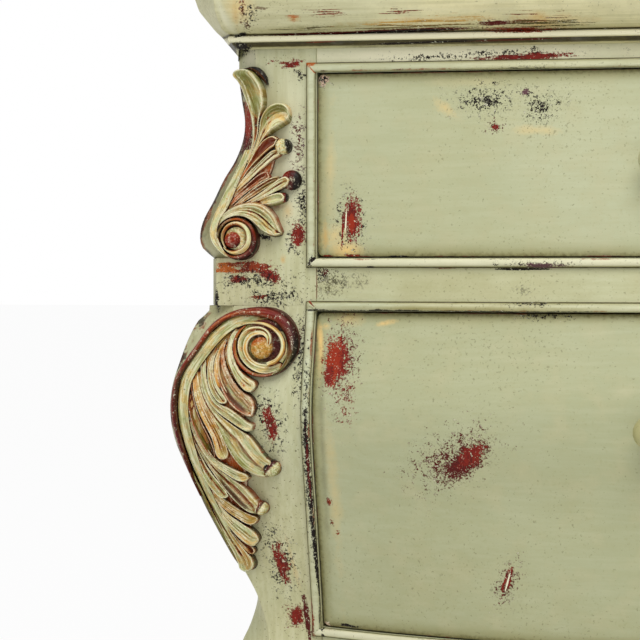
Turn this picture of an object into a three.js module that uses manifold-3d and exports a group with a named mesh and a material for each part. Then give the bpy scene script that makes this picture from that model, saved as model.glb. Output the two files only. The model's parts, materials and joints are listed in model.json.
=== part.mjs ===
// A painted bombe chest of two drawers, with carved acanthus consoles on its front posts.
// Millimetres, +Z up, the front faces -Y. The origin is the middle of the chest's box, on the floor.

import * as THREE from 'three';
import { mergeVertices } from 'three/addons/utils/BufferGeometryUtils.js';
import Module from 'manifold-3d';

const wasm = await Module();
wasm.setup();

// Driving dimensions of the carcase
const openingWidth = 1008;
const postReach = 150;
const carcaseDepth = 440;
const railBottom = 110;
const bottomRailHeight = 53;
const lowerOpeningHeight = 321;
const middleRailHeight = 53;
const upperOpeningHeight = 185;
const headHeight = 100;
const topThickness = 28;

// The swelling of the front: push is the same right across, bow is nil at the posts
const bellyPush = 29;
const bowAtTop = 6;
const bowAtWaist = 37;
const bowAtBase = 75;
const apronDip = 5;
const bowPower = 2.6;

// Boards, posts and mouldings
const postDepth = 60;
const cantDepth = 24;
const panelInset = 8;
const panelThickness = 18;
const topRailDepth = 22;
const middleRailDepth = 50;
const apronScoop = 12;
const beadWidth = 10;
const beadRise = 4.5;
const beadFoot = 1.5;
const corniceHeight = 83;
const corniceReach = 46;
const topReach = 58;
const backThickness = 12;
const backInset = 4;
const boardThickness = 12;
const runnerWidth = 34;
const runnerHeight = 22;
const guideWidth = 4;
const guideHeight = 12;

// Drawers
const drawerClearance = 1.5;
const frontRecess = 3;
const frontThickness = 22;
const drawerSideThickness = 12;
const drawerSideInset = 5;
const drawerBottomThickness = 7;
const drawerBottomRise = 10;
const drawerHeadroom = 14;
const drawerBackGap = 26;
const knobPlace = 165;
const knobRadius = 16;
const knobReach = 32;
const knobNeck = 7;

// Gaps between pieces that touch on the real chest
const seatGap = 0.3;
const carvingGap = 0.5;
const mitreGap = 0.2;
const beadSeat = 0.7;
const jointGap = 0.8;
const runningGap = 0.3;

// Carving
const carvingRelief = 15;
const spineRelief = 13;
const eyeRelief = 12;
const carvingFoot = 3;
const carvingSink = 4;

// Fineness of the curved pieces
const acrossSteps = 16;
const lowerSteps = 16;
const upperSteps = 10;
const footSteps = 7;
const lobeSteps = 4;
const spineSteps = 12;
const spiralSteps = 18;
const roundSides = 10;

// Levels worked out from the sizes above
const stile = openingWidth / 2;
const lowerFloor = railBottom + bottomRailHeight;
const lowerCeiling = lowerFloor + lowerOpeningHeight;
const upperFloor = lowerCeiling + middleRailHeight;
const upperCeiling = upperFloor + upperOpeningHeight;
const carcaseTop = upperCeiling + headHeight;
const corniceBottom = carcaseTop - corniceHeight;

const paint = { green: 0xb6b68c, carving: 0xb09a66, rawWood: 0xa98258, knob: 0x8d8a62 };
const finish = {
  painted: new THREE.MeshStandardMaterial({ color: paint.green, roughness: 0.5, metalness: 0 }),
  carved: new THREE.MeshStandardMaterial({ color: paint.carving, roughness: 0.45, metalness: 0 }),
  inside: new THREE.MeshStandardMaterial({ color: paint.rawWood, roughness: 0.75, metalness: 0 }),
  knob: new THREE.MeshStandardMaterial({ color: paint.knob, roughness: 0.45, metalness: 0 }),
};

const stretch = (from, to, share) => from + (to - from) * share;
const steps = (from, to, count) => Array.from({ length: count + 1 }, (_, i) => stretch(from, to, i / count));

// A smooth curve through stations [place, value, ...], with its places rising
function through(stations, column = 1) {
  const place = stations.map((row) => row[0]);
  const value = stations.map((row) => row[column]);
  const last = place.length - 1;
  const slope = value.map((_, i) => {
    if (i === 0 || i === last) return 0;
    return (value[i + 1] - value[i - 1]) / (place[i + 1] - place[i - 1]);
  });
  return (at) => {
    if (at <= place[0]) return value[0];
    if (at >= place[last]) return value[last];
    let i = 0;
    while (place[i + 1] < at) i += 1;
    const run = place[i + 1] - place[i];
    const t = (at - place[i]) / run;
    const ease = 3 * t ** 2 - 2 * t ** 3;
    const start = t ** 3 - 2 * t ** 2 + t;
    const end = t ** 3 - t ** 2;
    return stretch(value[i], value[i + 1], ease) + run * (start * slope[i] + end * slope[i + 1]);
  };
}

// Stations of a post's front corner and flank, as shares of the post's reach, from the bottom up.
// The first number is a share of the foot, of the lower opening or of the upper opening.
const footOutlineShares = [
  [0, 0.53, 0.65, 0.2],
  [0.2, 0.53, 0.68, 0.22],
  [0.45, 0.47, 0.72, 0.16],
  [0.68, 0.39, 0.67, 0],
  [0.86, 0.37, 0.6, 0],
];
const lowerOutlineShares = [
  [0, 0.39, 0.53],
  [0.085, 0.445, 0.475],
  [0.13, 0.485, 0.495],
  [0.2, 0.56, 0.567],
  [0.31, 0.675, 0.7],
  [0.43, 0.787, 0.84],
  [0.56, 0.887, 0.953],
  [0.63, 0.925, 0.99],
  [0.7, 0.927, 1],
  [0.77, 0.893, 0.987],
  [0.845, 0.817, 0.947],
  [0.905, 0.733, 0.907],
  [0.97, 0.607, 0.84],
  [1, 0.573, 0.773],
];
const upperOutlineShares = [
  [0, 0.6, 0.745],
  [0.045, 0.667, 0.813],
  [0.105, 0.733, 0.84],
  [0.2, 0.72, 0.82],
  [0.31, 0.667, 0.747],
  [0.43, 0.593, 0.673],
  [0.535, 0.507, 0.593],
  [0.645, 0.46, 0.54],
  [0.75, 0.447, 0.527],
  [0.86, 0.43, 0.547],
  [1, 0.42, 0.567],
];
const blockStep = 0.5;
const blockShares = { corner: 0.7, flank: 0.747, bottom: 0.1 };

const lowerZ = (share) => stretch(lowerFloor, lowerCeiling, share);
const upperZ = (share) => stretch(upperFloor, upperCeiling, share);
const blockBottom = stretch(lowerCeiling, upperFloor, blockShares.bottom);
const belowBlock = [
  ...footOutlineShares.map(([share, ...rest]) => [lowerFloor * share, ...rest]),
  ...lowerOutlineShares.map(([share, ...rest]) => [lowerZ(share), ...rest, 0]),
];
const aboveBlock = upperOutlineShares.map(([share, ...rest]) => [upperZ(share), ...rest, 0]);
const outlineCurves = [1, 2, 3].map((column) => [through(belowBlock, column), through(aboveBlock, column)]);

// Where the post's front corner, its flank and its inner side stand at a height
function outlineAt(z) {
  const above = z > upperFloor - blockStep;
  const shares = outlineCurves.map((pair) => pair[above ? 1 : 0](z));
  const [corner, flank, inner] = shares.map((share) => stile + postReach * Math.max(0, share));
  return { corner, flank, inner };
}

// How far the front stands forward of the plane of the upper post
const waistEase = 0.25;
const coarseStep = 2;
const pushCurve = through([
  [0, 0.1],
  [lowerFloor * 0.4, -0.55],
  [lowerFloor * 0.75, -0.92],
  [lowerZ(0.02), -1],
  [lowerZ(0.34), 0],
  [lowerZ(0.68), 1],
  [lowerZ(0.92), 0.36],
  [stretch(lowerCeiling, upperFloor, waistEase), 0],
]);
const bowCurve = through([
  [lowerFloor, bowAtBase],
  [lowerZ(0.45), stretch(bowAtBase, bowAtWaist, 0.7)],
  [lowerCeiling, bowAtWaist],
  [upperFloor, stretch(bowAtWaist, bowAtTop, 0.3)],
  [upperCeiling, bowAtTop],
  [corniceBottom, 0],
]);

// The heights of the front's facets. Pieces that lie on the front share them, and so fit it.
const footHeights = steps(0, lowerFloor, footSteps).slice(0, -1);
const lowerHeights = steps(lowerFloor, lowerCeiling, lowerSteps);
const railHeights = [blockBottom, stretch(lowerCeiling, upperFloor, waistEase)];
const upperHeights = steps(upperFloor, upperCeiling, upperSteps);
const facetHeights = [footHeights, lowerHeights, railHeights, upperHeights, corniceBottom, carcaseTop].flat();

// A curve's straight pieces between the given places
function faceted(curve, places) {
  const values = places.map(curve);
  return (at) => {
    let i = 0;
    while (i + 2 < places.length && places[i + 1] < at) i += 1;
    return stretch(values[i], values[i + 1], (at - places[i]) / (places[i + 1] - places[i]));
  };
}

const push = faceted((z) => bellyPush * pushCurve(z), facetHeights);
const bow = faceted(bowCurve, facetHeights);
const bowShape = faceted((x) => 1 - Math.abs(x / stile) ** bowPower, steps(-stile, stile, acrossSteps));
const front = (x, z) => push(z) + (Math.abs(x) < stile ? bow(z) * bowShape(x) : 0);

// Triangle soup helpers: every solid is closed, with its faces pointing out
function solidFrom(points, triangles) {
  const geometry = new THREE.BufferGeometry();
  geometry.setAttribute('position', new THREE.Float32BufferAttribute(points.flat(), 3));
  geometry.setIndex(triangles.flat());
  let volume = 0;
  for (const [a, b, c] of triangles) {
    const [p, q, r] = [a, b, c].map((i) => new THREE.Vector3(...points[i]));
    volume += p.dot(q.cross(r));
  }
  if (volume < 0) geometry.setIndex(triangles.flatMap(([a, b, c]) => [a, c, b]));
  return geometry;
}

// A solid through rings of equally many points, closed by a flat or fanned cap at each end
function loft(rings) {
  const count = rings[0].length;
  const triangles = [];
  for (let i = 0; i + 1 < rings.length; i += 1) {
    for (let j = 0; j < count; j += 1) {
      const k = (j + 1) % count;
      const [a, b, c, d] = [i * count + j, i * count + k, (i + 1) * count + j, (i + 1) * count + k];
      triangles.push([a, b, c], [b, d, c]);
    }
  }
  const end = (rings.length - 1) * count;
  for (const [a, b, c] of capTriangles(rings[0])) triangles.push([a, c, b]);
  for (const [a, b, c] of capTriangles(rings[rings.length - 1])) triangles.push([end + a, end + b, end + c]);
  return solidFrom(rings.flat(), triangles);
}

// Cuts a ring into triangles, seen along the direction that it faces
function capTriangles(ring) {
  const points = ring.map((p) => new THREE.Vector3(...p));
  const normal = new THREE.Vector3();
  points.forEach((p, i) => normal.add(p.clone().cross(points[(i + 1) % points.length])));
  normal.normalize();
  const along = points[1].clone().sub(points[0]).cross(normal).normalize();
  const up = normal.clone().cross(along);
  const flat = points.map((p) => new THREE.Vector2(p.dot(along), p.dot(up)));
  const turn = THREE.ShapeUtils.isClockWise(flat) ? -1 : 1;
  const faces = THREE.ShapeUtils.triangulateShape(flat, []);
  return turn > 0 ? faces : faces.map(([a, b, c]) => [a, c, b]);
}

// Shared vertices are merged, so that the solid is closed
function welded(geometry) {
  geometry.deleteAttribute('normal');
  geometry.deleteAttribute('uv');
  return mergeVertices(geometry);
}

// A board with a front and a back that both follow functions of x and z
function facedBoard(xs, zsAt, frontAt, backAt) {
  const rows = zsAt(xs[0]).length;
  const points = [];
  for (const surface of [frontAt, backAt]) {
    for (const x of xs) for (const z of zsAt(x)) points.push([x, surface(x, z), z]);
  }
  const half = xs.length * rows;
  const top = rows - 1;
  const at = (i, j, back) => (back ? half : 0) + i * rows + j;
  const triangles = [];
  const quad = (a, b, c, d) => triangles.push([a, b, c], [a, c, d]);
  for (let i = 0; i + 1 < xs.length; i += 1) {
    for (let j = 0; j + 1 < rows; j += 1) {
      quad(at(i, j, false), at(i + 1, j, false), at(i + 1, j + 1, false), at(i, j + 1, false));
      quad(at(i, j, true), at(i, j + 1, true), at(i + 1, j + 1, true), at(i + 1, j, true));
    }
    quad(at(i, 0, false), at(i, 0, true), at(i + 1, 0, true), at(i + 1, 0, false));
    quad(at(i, top, false), at(i + 1, top, false), at(i + 1, top, true), at(i, top, true));
  }
  const end = xs.length - 1;
  for (let j = 0; j + 1 < rows; j += 1) {
    quad(at(0, j, false), at(0, j + 1, false), at(0, j + 1, true), at(0, j, true));
    quad(at(end, j, false), at(end, j, true), at(end, j + 1, true), at(end, j + 1, false));
  }
  return solidFrom(points, triangles);
}

function box(x0, x1, y0, y1, z0, z1) {
  const geometry = new THREE.BoxGeometry(x1 - x0, y1 - y0, z1 - z0);
  return geometry.translate((x0 + x1) / 2, (y0 + y1) / 2, (z0 + z1) / 2);
}

// The same piece for the other side of the chest
function mirrored(geometry) {
  const copy = geometry.clone().applyMatrix4(new THREE.Matrix4().makeScale(-1, 1, 1));
  const order = copy.index.array;
  for (let i = 0; i < order.length; i += 3) [order[i + 1], order[i + 2]] = [order[i + 2], order[i + 1]];
  return copy;
}

const chest = new THREE.Group();

function add(name, geometry, material) {
  const mesh = new THREE.Mesh(geometry, material);
  mesh.name = name;
  chest.add(mesh);
  return mesh;
}

// Adds the left piece under its name and the right one as its mirror image
function addPair(name, geometry, material) {
  add(`left_${name}`, geometry, material);
  add(`right_${name}`, mirrored(geometry), material);
}

// Posts: stiles that run from the floor to the top and swell with the belly
function postStations() {
  const plain = (z) => ({ z, ...outlineAt(z) });
  const { corner, flank } = blockShares;
  const widths = { corner: stile + postReach * corner, flank: stile + postReach * flank, inner: stile };
  const block = (z) => ({ z, ...widths });
  return [
    ...[...footHeights, ...lowerHeights, blockBottom - blockStep].map(plain),
    ...[...railHeights, upperFloor - blockStep].map(block),
    ...[...upperHeights, corniceBottom, carcaseTop].map(plain),
  ];
}

// The left front post, or the space that it needs with a gap left round it
function frontPost(gap = 0) {
  return loft(postStations().map(({ z, corner, flank, inner }) => {
    const face = -push(z) - gap;
    return [
      [-inner, postDepth, z],
      [-inner, face, z],
      [-corner - gap, face, z],
      [-flank - gap, face + cantDepth, z],
      [-flank - gap, postDepth, z],
    ];
  }));
}

function rearPost() {
  return loft(postStations().map(({ z, flank, inner }) => [
    [-inner, carcaseDepth, z],
    [-inner, carcaseDepth - postDepth, z],
    [-flank, carcaseDepth - postDepth, z],
    [-flank, carcaseDepth, z],
  ]));
}

addPair('front_post', frontPost(), finish.painted);
addPair('rear_post', rearPost(), finish.painted);

// Side panels: boards bent to the posts' outline, held between them
function sidePanel() {
  const heights = [railBottom, ...facetHeights.filter((z) => z > railBottom)];
  const ends = [postDepth + seatGap, carcaseDepth - postDepth - seatGap];
  const outer = heights.map((z) => [outlineAt(z).flank - panelInset, z]);
  const inner = outer.map(([x, z]) => [x - panelThickness, z]).reverse();
  return loft(ends.map((y) => [...outer, ...inner].map(([x, z]) => [-x, y, z])));
}

addPair('side_panel', sidePanel(), finish.painted);

// Rails between the front posts
const railEnd = stile - seatGap;
const across = (end) => steps(-end, end, acrossSteps);
const apronEdge = (x) => railBottom - apronScoop * bowShape(x);
const lowerEdge = (x) => lowerFloor - apronDip * bowShape(x);
const frontFace = (x, z) => -front(x, z);

function rail(zsAt, back) {
  return facedBoard(across(railEnd), zsAt, frontFace, () => back);
}

const apronHeights = footHeights.filter((z) => z > railBottom);
add('bottom_rail', rail((x) => [apronEdge(x), ...apronHeights, lowerEdge(x)], postDepth), finish.painted);
add('middle_rail', rail(() => [lowerCeiling, ...railHeights, upperFloor], middleRailDepth), finish.painted);
add('top_rail', rail(() => [upperCeiling, corniceBottom, carcaseTop], topRailDepth), finish.painted);

// Mitred beads round the two openings. Each profile point is a distance from the opening and a rise.
const beadProfileShares = [[0, 0], [0, 0.72], [0.22, 1], [0.62, 0.94], [1, 0.35], [1, 0]];
const beadProfile = beadProfileShares.map(([away, rise]) => [
  seatGap + away * (beadWidth - seatGap),
  beadSeat + rise * beadRise + (rise > 0 ? beadFoot : 0),
]);

// An upright bead stands beside the opening between the first and the last of the given heights
function uprightBead(heights) {
  const last = heights.length - 1;
  const mitre = { 0: (away) => mitreGap - away, [last]: (away) => away - mitreGap };
  return loft(heights.map((height, i) => beadProfile.map(([away, rise]) => {
    const z = height + (mitre[i] ? mitre[i](away) : 0);
    return [-(stile + away), -(push(z) + rise), z];
  })));
}

function levelBead(edge, direction) {
  return loft(across(1).map((share) => beadProfile.map(([away, rise]) => {
    const x = share * (stile + away - mitreGap);
    const z = edge(x) + direction * away;
    return [x, -(front(x, z) + rise), z];
  })));
}

addPair('lower_bead', uprightBead(lowerHeights), finish.painted);
addPair('upper_bead', uprightBead([upperFloor, upperCeiling]), finish.painted);
add('lower_bead_below', levelBead(lowerEdge, -1), finish.painted);
add('lower_bead_above', levelBead(() => lowerCeiling, 1), finish.painted);
add('upper_bead_below', levelBead(() => upperFloor, -1), finish.painted);
add('upper_bead_above', levelBead(() => upperCeiling, 1), finish.painted);

// The plan of the carcase at its head: back, flank and corner of the left side, then the right side
const head = outlineAt(carcaseTop);
const plan = [
  [-head.flank, carcaseDepth],
  [-head.flank, cantDepth],
  [-head.corner, 0],
  [head.corner, 0],
  [head.flank, cantDepth],
  [head.flank, carcaseDepth],
];

// A corner of the plan moved out square to both of its sides
function planPoint(index, reach) {
  const [x, y] = plan[index];
  const normals = [index - 1, index].filter((i) => i >= 0 && i + 1 < plan.length).map((i) => {
    const [dx, dy] = [plan[i + 1][0] - plan[i][0], plan[i + 1][1] - plan[i][1]];
    return new THREE.Vector2(dy, -dx).normalize();
  });
  const [one, other] = [normals[0], normals[normals.length - 1]];
  const move = one.clone().add(other).multiplyScalar(reach / (1 + one.dot(other)));
  return [x + move.x, y + move.y];
}

// The cornice's section from the cove up: shares of its reach and of its height
const corniceShares = [
  [0.04, 0],
  [0.1, 0.07],
  [0.22, 0.14],
  [0.24, 0.18],
  [0.34, 0.21],
  [0.34, 0.27],
  [0.26, 0.3],
  [0.32, 0.33],
  [0.58, 0.37],
  [0.8, 0.48],
  [0.94, 0.62],
  [1, 0.78],
  [0.95, 0.9],
  [0.95, 1],
];
const corniceProfile = corniceShares.map(([out, rise]) => [
  out * corniceReach,
  corniceBottom + rise * corniceHeight,
]);

// A straight run of the cornice between two corners of the plan
function corniceRun(from, to) {
  const ends = [[from, to], [to, from]].map(([here, there]) => {
    const profile = [[seatGap, carcaseTop], [seatGap, corniceBottom], ...corniceProfile];
    return profile.map(([out, z]) => {
      const [x, y] = planPoint(here, Math.max(out, seatGap));
      const [nextX, nextY] = planPoint(there, Math.max(out, seatGap));
      const length = Math.hypot(nextX - x, nextY - y);
      const share = mitreGap / length;
      return [stretch(x, nextX, share), stretch(y, nextY, share), z];
    });
  });
  return loft(ends);
}

add('cornice_front', corniceRun(2, 3), finish.painted);
addPair('cornice_corner', corniceRun(1, 2), finish.painted);
addPair('cornice_side', corniceRun(0, 1), finish.painted);

// The top board, with a rounded edge
const topEdgeShares = [[0.86, 0], [0.95, 0.06], [1, 0.25], [1, 0.6], [0.96, 0.85], [0.86, 1]];
const topBoard = loft(topEdgeShares.map(([out, rise]) => plan.map((_, index) => {
  const [x, y] = planPoint(index, out * topReach);
  return [x, y, carcaseTop + rise * topThickness];
})));
add('top_board', topBoard, finish.painted);

// Back, bottom and dust boards, and the runners that carry the drawers
const backFace = carcaseDepth - backInset;
const backFront = backFace - backThickness;
add('back_panel', box(-railEnd, railEnd, backFront, backFace, railBottom, carcaseTop), finish.inside);

function levelBoard(top, railBack) {
  return box(-railEnd, railEnd, railBack + seatGap, backFront - seatGap, top - boardThickness, top);
}

const bottomBoardTop = lowerFloor - runnerHeight;
const dustBoardTop = upperFloor - runnerHeight;
add('bottom_board', levelBoard(bottomBoardTop, postDepth), finish.inside);
add('dust_board', levelBoard(dustBoardTop, middleRailDepth), finish.inside);

function runner(top) {
  const [outer, inner] = [-railEnd, -railEnd + runnerWidth];
  const section = new THREE.Shape([
    new THREE.Vector2(outer, top - runnerHeight),
    new THREE.Vector2(inner, top - runnerHeight),
    new THREE.Vector2(inner, top),
    new THREE.Vector2(outer + guideWidth, top),
    new THREE.Vector2(outer + guideWidth, top + guideHeight),
    new THREE.Vector2(outer, top + guideHeight),
  ]);
  const start = postDepth + seatGap;
  const end = backFront - seatGap;
  const geometry = new THREE.ExtrudeGeometry(section, { depth: end - start, bevelEnabled: false });
  geometry.rotateX(Math.PI / 2).translate(0, end, 0);
  return welded(geometry);
}

addPair('lower_runner', runner(lowerFloor), finish.inside);
addPair('upper_runner', runner(upperFloor), finish.inside);

// Drawers
const frontEnd = stile - drawerClearance;
const drawerFace = (x, z) => -(front(x, z) - frontRecess);
const drawerRear = (x, z) => drawerFace(x, z) + frontThickness;

function drawer(name, floorAt, ceiling) {
  const bottom = (x) => floorAt(x) + drawerClearance;
  const top = ceiling - drawerClearance;
  const rest = floorAt(stile) + runningGap;
  const inside = facetHeights.filter((z, i) => i % coarseStep === 0 && z > rest && z < top);
  const rows = [floorAt(stile) + drawerClearance, ...inside, top];
  const rearAt = (x, z) => faceted((height) => drawerRear(x, height), rows)(z) + jointGap;
  const sideTop = top - drawerHeadroom;
  const rear = backFront - drawerBackGap;
  const outer = frontEnd - drawerSideInset;
  const inner = outer - drawerSideThickness;
  const heights = (x) => [bottom(x), ...inside, top];
  add(`${name}_front`, facedBoard(across(frontEnd), heights, drawerFace, drawerRear), finish.painted);

  const sideLine = [rest, ...inside.filter((z) => z < sideTop), sideTop];
  const side = loft([outer, inner].map((x) => [
    ...sideLine.map((z) => [-x, rearAt(x, z), z]),
    [-x, rear, sideTop],
    [-x, rear, rest],
  ]));
  add(`${name}_left_side`, side, finish.inside);
  add(`${name}_right_side`, mirrored(side), finish.inside);

  const backStart = rear - drawerSideThickness;
  add(`${name}_back`, box(-inner + seatGap, inner - seatGap, backStart, rear, rest, sideTop), finish.inside);

  const bottomBase = rest + drawerBottomRise;
  const bottomRings = [bottomBase, bottomBase + drawerBottomThickness].map((z) => [
    ...across(inner - seatGap).map((x) => [x, rearAt(x, z), z]),
    [inner - seatGap, backStart - seatGap, z],
    [-inner + seatGap, backStart - seatGap, z],
  ]);
  add(`${name}_bottom`, loft(bottomRings), finish.inside);
}

drawer('upper_drawer', () => upperFloor, upperCeiling);
drawer('lower_drawer', lowerEdge, lowerCeiling);

// Turned knobs, square to the swelling front
const knobHeadShares = [[0.85, 0.52], [1, 0.72], [0.82, 0.92]];
const knobFootShare = 0.62;
const knobNeckShares = [0.12, 0.34];

function knobGeometry() {
  const profile = [
    [0, 0],
    [knobFootShare * knobRadius, 0],
    ...knobNeckShares.map((reach) => [knobNeck, reach * knobReach]),
    ...knobHeadShares.map(([radius, reach]) => [radius * knobRadius, reach * knobReach]),
    [0, knobReach],
  ];
  return welded(new THREE.LatheGeometry(profile.map(([x, y]) => new THREE.Vector2(x, y)), roundSides));
}

function addKnob(name, side, z) {
  const x = side * knobPlace;
  const probe = knobRadius / 2;
  const slopeX = (drawerFace(x + probe, z) - drawerFace(x - probe, z)) / (2 * probe);
  const slopeZ = (drawerFace(x, z + probe) - drawerFace(x, z - probe)) / (2 * probe);
  const outward = new THREE.Vector3(slopeX, -1, slopeZ).normalize();
  const mesh = add(name, knobGeometry(), finish.knob);
  mesh.quaternion.setFromUnitVectors(new THREE.Vector3(0, 1, 0), outward);
  mesh.position.set(x, drawerFace(x, z), z).addScaledVector(outward, carvingGap);
}

const upperKnobShare = 0.5;
const lowerKnobShare = 0.66;
for (const [word, side] of [['left', -1], ['right', 1]]) {
  addKnob(`upper_${word}_knob`, side, upperZ(upperKnobShare));
  addKnob(`lower_${word}_knob`, side, lowerZ(lowerKnobShare));
}

// The carved leaves. Their points are picked on the photograph, in its 640 by 640 pixels:
// the columns of the post's inner edge and of its widest place, and the rows of each opening.
const viewDistance = 2500;
const stileColumn = 316;
const bellyColumn = 172;
const lowerRows = { floor: 625, ceiling: 311, zAt: lowerZ };
const upperRows = { floor: 258, ceiling: 73, zAt: upperZ };
const pixel = postReach / (stileColumn - bellyColumn);

function picked([column, row], rows) {
  const z = rows.zAt((rows.floor - row) / (rows.floor - rows.ceiling));
  const x = stile + (stileColumn - column) * pixel;
  return new THREE.Vector3(-x * (1 - push(z) / viewDistance), 0, z);
}

// Sections of the carving: shares of the half width and of the relief, from one edge to the other
const gougeShares = [[-1, 0], [-0.8, 0.9], [0, 0.5], [0.8, 1], [1, 0]];
const roundShares = [[-1, 0], [-0.7, 0.8], [0, 1], [0.7, 0.8], [1, 0]];

// A strip of carving that follows a line on the face of the post
function carvedStrip(line, section, halfWidthAt, reliefAt, count) {
  const rings = steps(0, 1, count).map((share) => {
    const centre = line.getPointAt(share);
    const along = line.getTangentAt(share);
    const half = halfWidthAt(share);
    const relief = reliefAt(share);
    const base = -push(centre.z);
    return section.map(([out, rise]) => {
      const [x, z] = [centre.x + out * half * along.z, centre.z - out * half * along.x];
      return [x, rise > 0 ? base - carvingFoot - rise * relief : base + carvingSink, z];
    });
  });
  return toManifold(loft(rings));
}

function toManifold(geometry) {
  const merged = mergeVertices(geometry);
  return new wasm.Manifold(new wasm.Mesh({
    numProp: 3,
    vertProperties: new Float32Array(merged.attributes.position.array),
    triVerts: new Uint32Array(merged.index.array),
  }));
}

// The largest skin of a joined solid: pockets sealed between its strips are filled
function fromManifold(solid) {
  const { vertProperties, triVerts } = solid.getMesh();
  const three = (list, i) => [...list.slice(3 * i, 3 * i + 3)];
  const threes = (list) => Array.from({ length: list.length / 3 }, (_, i) => three(list, i));
  const points = threes(vertProperties);
  const skinOf = points.map((_, i) => i);
  const root = (i) => {
    while (skinOf[i] !== i) i = skinOf[i];
    return i;
  };
  const triangles = threes(triVerts);
  for (const [a, b, c] of triangles) {
    skinOf[root(a)] = root(b);
    skinOf[root(b)] = root(c);
  }
  const skins = new Map();
  for (const triangle of triangles) {
    const key = root(triangle[0]);
    skins.set(key, [...(skins.get(key) ?? []), triangle]);
  }
  const largest = [...skins.values()].sort((one, other) => other.length - one.length)[0];
  return welded(solidFrom(points, largest));
}

// A leaf's lobe swells from its root to its tip and rises towards it
function lobe({ points, half }, rows, relief) {
  const line = new THREE.CatmullRomCurve3(points.map((point) => picked(point, rows)));
  const width = through([[0, 0.45], [0.35, 0.75], [0.75, 1], [1, 0.35]]);
  const rise = through([[0, 0.45], [0.5, 0.7], [0.8, 1], [1, 0.75]]);
  return carvedStrip(line, gougeShares, (t) => half * pixel * width(t), (t) => relief * rise(t), lobeSteps);
}

// A ball or eye that stands on the face of the post
function dome({ centre, radius }, rows, relief) {
  const place = picked(centre, rows);
  const size = radius * pixel;
  const base = -push(place.z);
  const rings = [[1, 0], [1, 0.35], [0.8, 0.78], [0.35, 1]].map(([wide, rise]) =>
    steps(0, 2 * Math.PI, roundSides - 4).slice(0, -1).map((angle) => {
      const [x, z] = [place.x + size * wide * Math.cos(angle), place.z + size * wide * Math.sin(angle)];
      return [x, rise > 0 ? base - carvingFoot - rise * relief : base + carvingSink, z];
    }));
  return toManifold(loft(rings));
}

// A volute: the spine winds in towards its eye, over a round ground
function volute({ centre, outer, inner, turns, from, half, eye }, rows) {
  const turnPoints = steps(0, 1, spiralSteps).map((share) => {
    const radius = stretch(outer, inner, share ** 0.8);
    const angle = from + share * turns * 2 * Math.PI;
    return picked([centre[0] + radius * Math.sin(angle), centre[1] - radius * Math.cos(angle)], rows);
  });
  const line = new THREE.CatmullRomCurve3(turnPoints);
  const width = (t) => half * pixel * stretch(1, 0.6, t);
  const ridge = carvedStrip(line, roundShares, width, (t) => spineRelief * stretch(1, 0.8, t), spiralSteps);
  const ground = dome({ centre, radius: outer }, rows, carvingFoot);
  return ridge.add(ground).add(dome({ centre, radius: eye }, rows, eyeRelief));
}

function leaf({ rows, spine, spineHalf, lobes, balls, scroll }) {
  const spineLine = new THREE.CatmullRomCurve3(spine.map((point) => picked(point, rows)));
  let solid = carvedStrip(spineLine, roundShares, () => spineHalf * pixel, () => spineRelief, spineSteps);
  solid = solid.add(volute(scroll, rows));
  for (const each of lobes) solid = solid.add(lobe(each, rows, carvingRelief));
  for (const each of balls) solid = solid.add(dome(each, rows, carvingRelief));
  return fromManifold(solid.subtract(toManifold(frontPost(carvingGap))));
}

const lowerLeafPixels = {
  rows: lowerRows,
  spine: [[258, 313], [228, 318], [211, 334], [196, 353], [185, 372], [178, 393], [176, 415], [181, 436],
    [189, 458], [201, 489], [221, 526], [238, 556]],
  spineHalf: 4.5,
  scroll: { centre: [261, 345], outer: 32, inner: 12, turns: 1.6, from: 0, half: 4.5, eye: 9 },
  lobes: [
    { points: [[236, 332], [230, 356], [238, 374], [251, 386]], half: 5 },
    { points: [[226, 338], [221, 366], [231, 390], [249, 409]], half: 7 },
    { points: [[216, 348], [211, 372], [214, 390], [224, 401]], half: 6 },
    { points: [[206, 355], [204, 384], [218, 407], [248, 427]], half: 6 },
    { points: [[198, 366], [205, 404], [228, 436], [266, 465]], half: 10 },
    { points: [[194, 372], [198, 408], [208, 435], [222, 456]], half: 6 },
    { points: [[188, 385], [195, 428], [213, 455], [245, 477]], half: 6 },
    { points: [[184, 400], [198, 446], [222, 478], [256, 505]], half: 8 },
    { points: [[182, 412], [191, 446], [204, 472], [223, 495]], half: 5 },
    { points: [[186, 436], [203, 482], [224, 505], [255, 522]], half: 6 },
    { points: [[194, 462], [210, 500], [230, 522], [256, 541]], half: 7 },
    { points: [[206, 492], [220, 518], [234, 537], [252, 551]], half: 5 },
    { points: [[210, 500], [224, 530], [236, 551], [248, 564]], half: 8 },
  ],
  balls: [{ centre: [271, 468], radius: 8 }, { centre: [261, 508], radius: 7 }],
};

const upperLeafPixels = {
  rows: upperRows,
  spine: [[251, 104], [252, 122], [249, 142], [240, 162], [228, 184], [217, 206], [211, 222], [210, 238],
    [217, 250], [228, 255]],
  spineHalf: 4,
  scroll: { centre: [235, 239], outer: 18, inner: 10, turns: 1.1, from: -1.2, half: 3.5, eye: 8 },
  lobes: [
    { points: [[250, 142], [254, 118], [253, 95], [248, 76]], half: 12 },
    { points: [[248, 156], [260, 134], [274, 118], [288, 112]], half: 8 },
    { points: [[240, 172], [255, 152], [267, 143], [279, 143]], half: 6 },
    { points: [[236, 182], [252, 166], [264, 156], [276, 150]], half: 5 },
    { points: [[228, 194], [244, 184], [256, 176], [266, 172]], half: 6 },
    { points: [[226, 206], [248, 190], [266, 182], [292, 177]], half: 8 },
    { points: [[230, 206], [252, 202], [266, 199], [283, 195]], half: 5 },
    { points: [[218, 216], [240, 209], [262, 214], [279, 232]], half: 8 },
  ],
  balls: [{ centre: [282, 146], radius: 8 }],
};

addPair('lower_leaf', leaf(lowerLeafPixels), finish.carved);
addPair('upper_leaf', leaf(upperLeafPixels), finish.carved);

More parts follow.
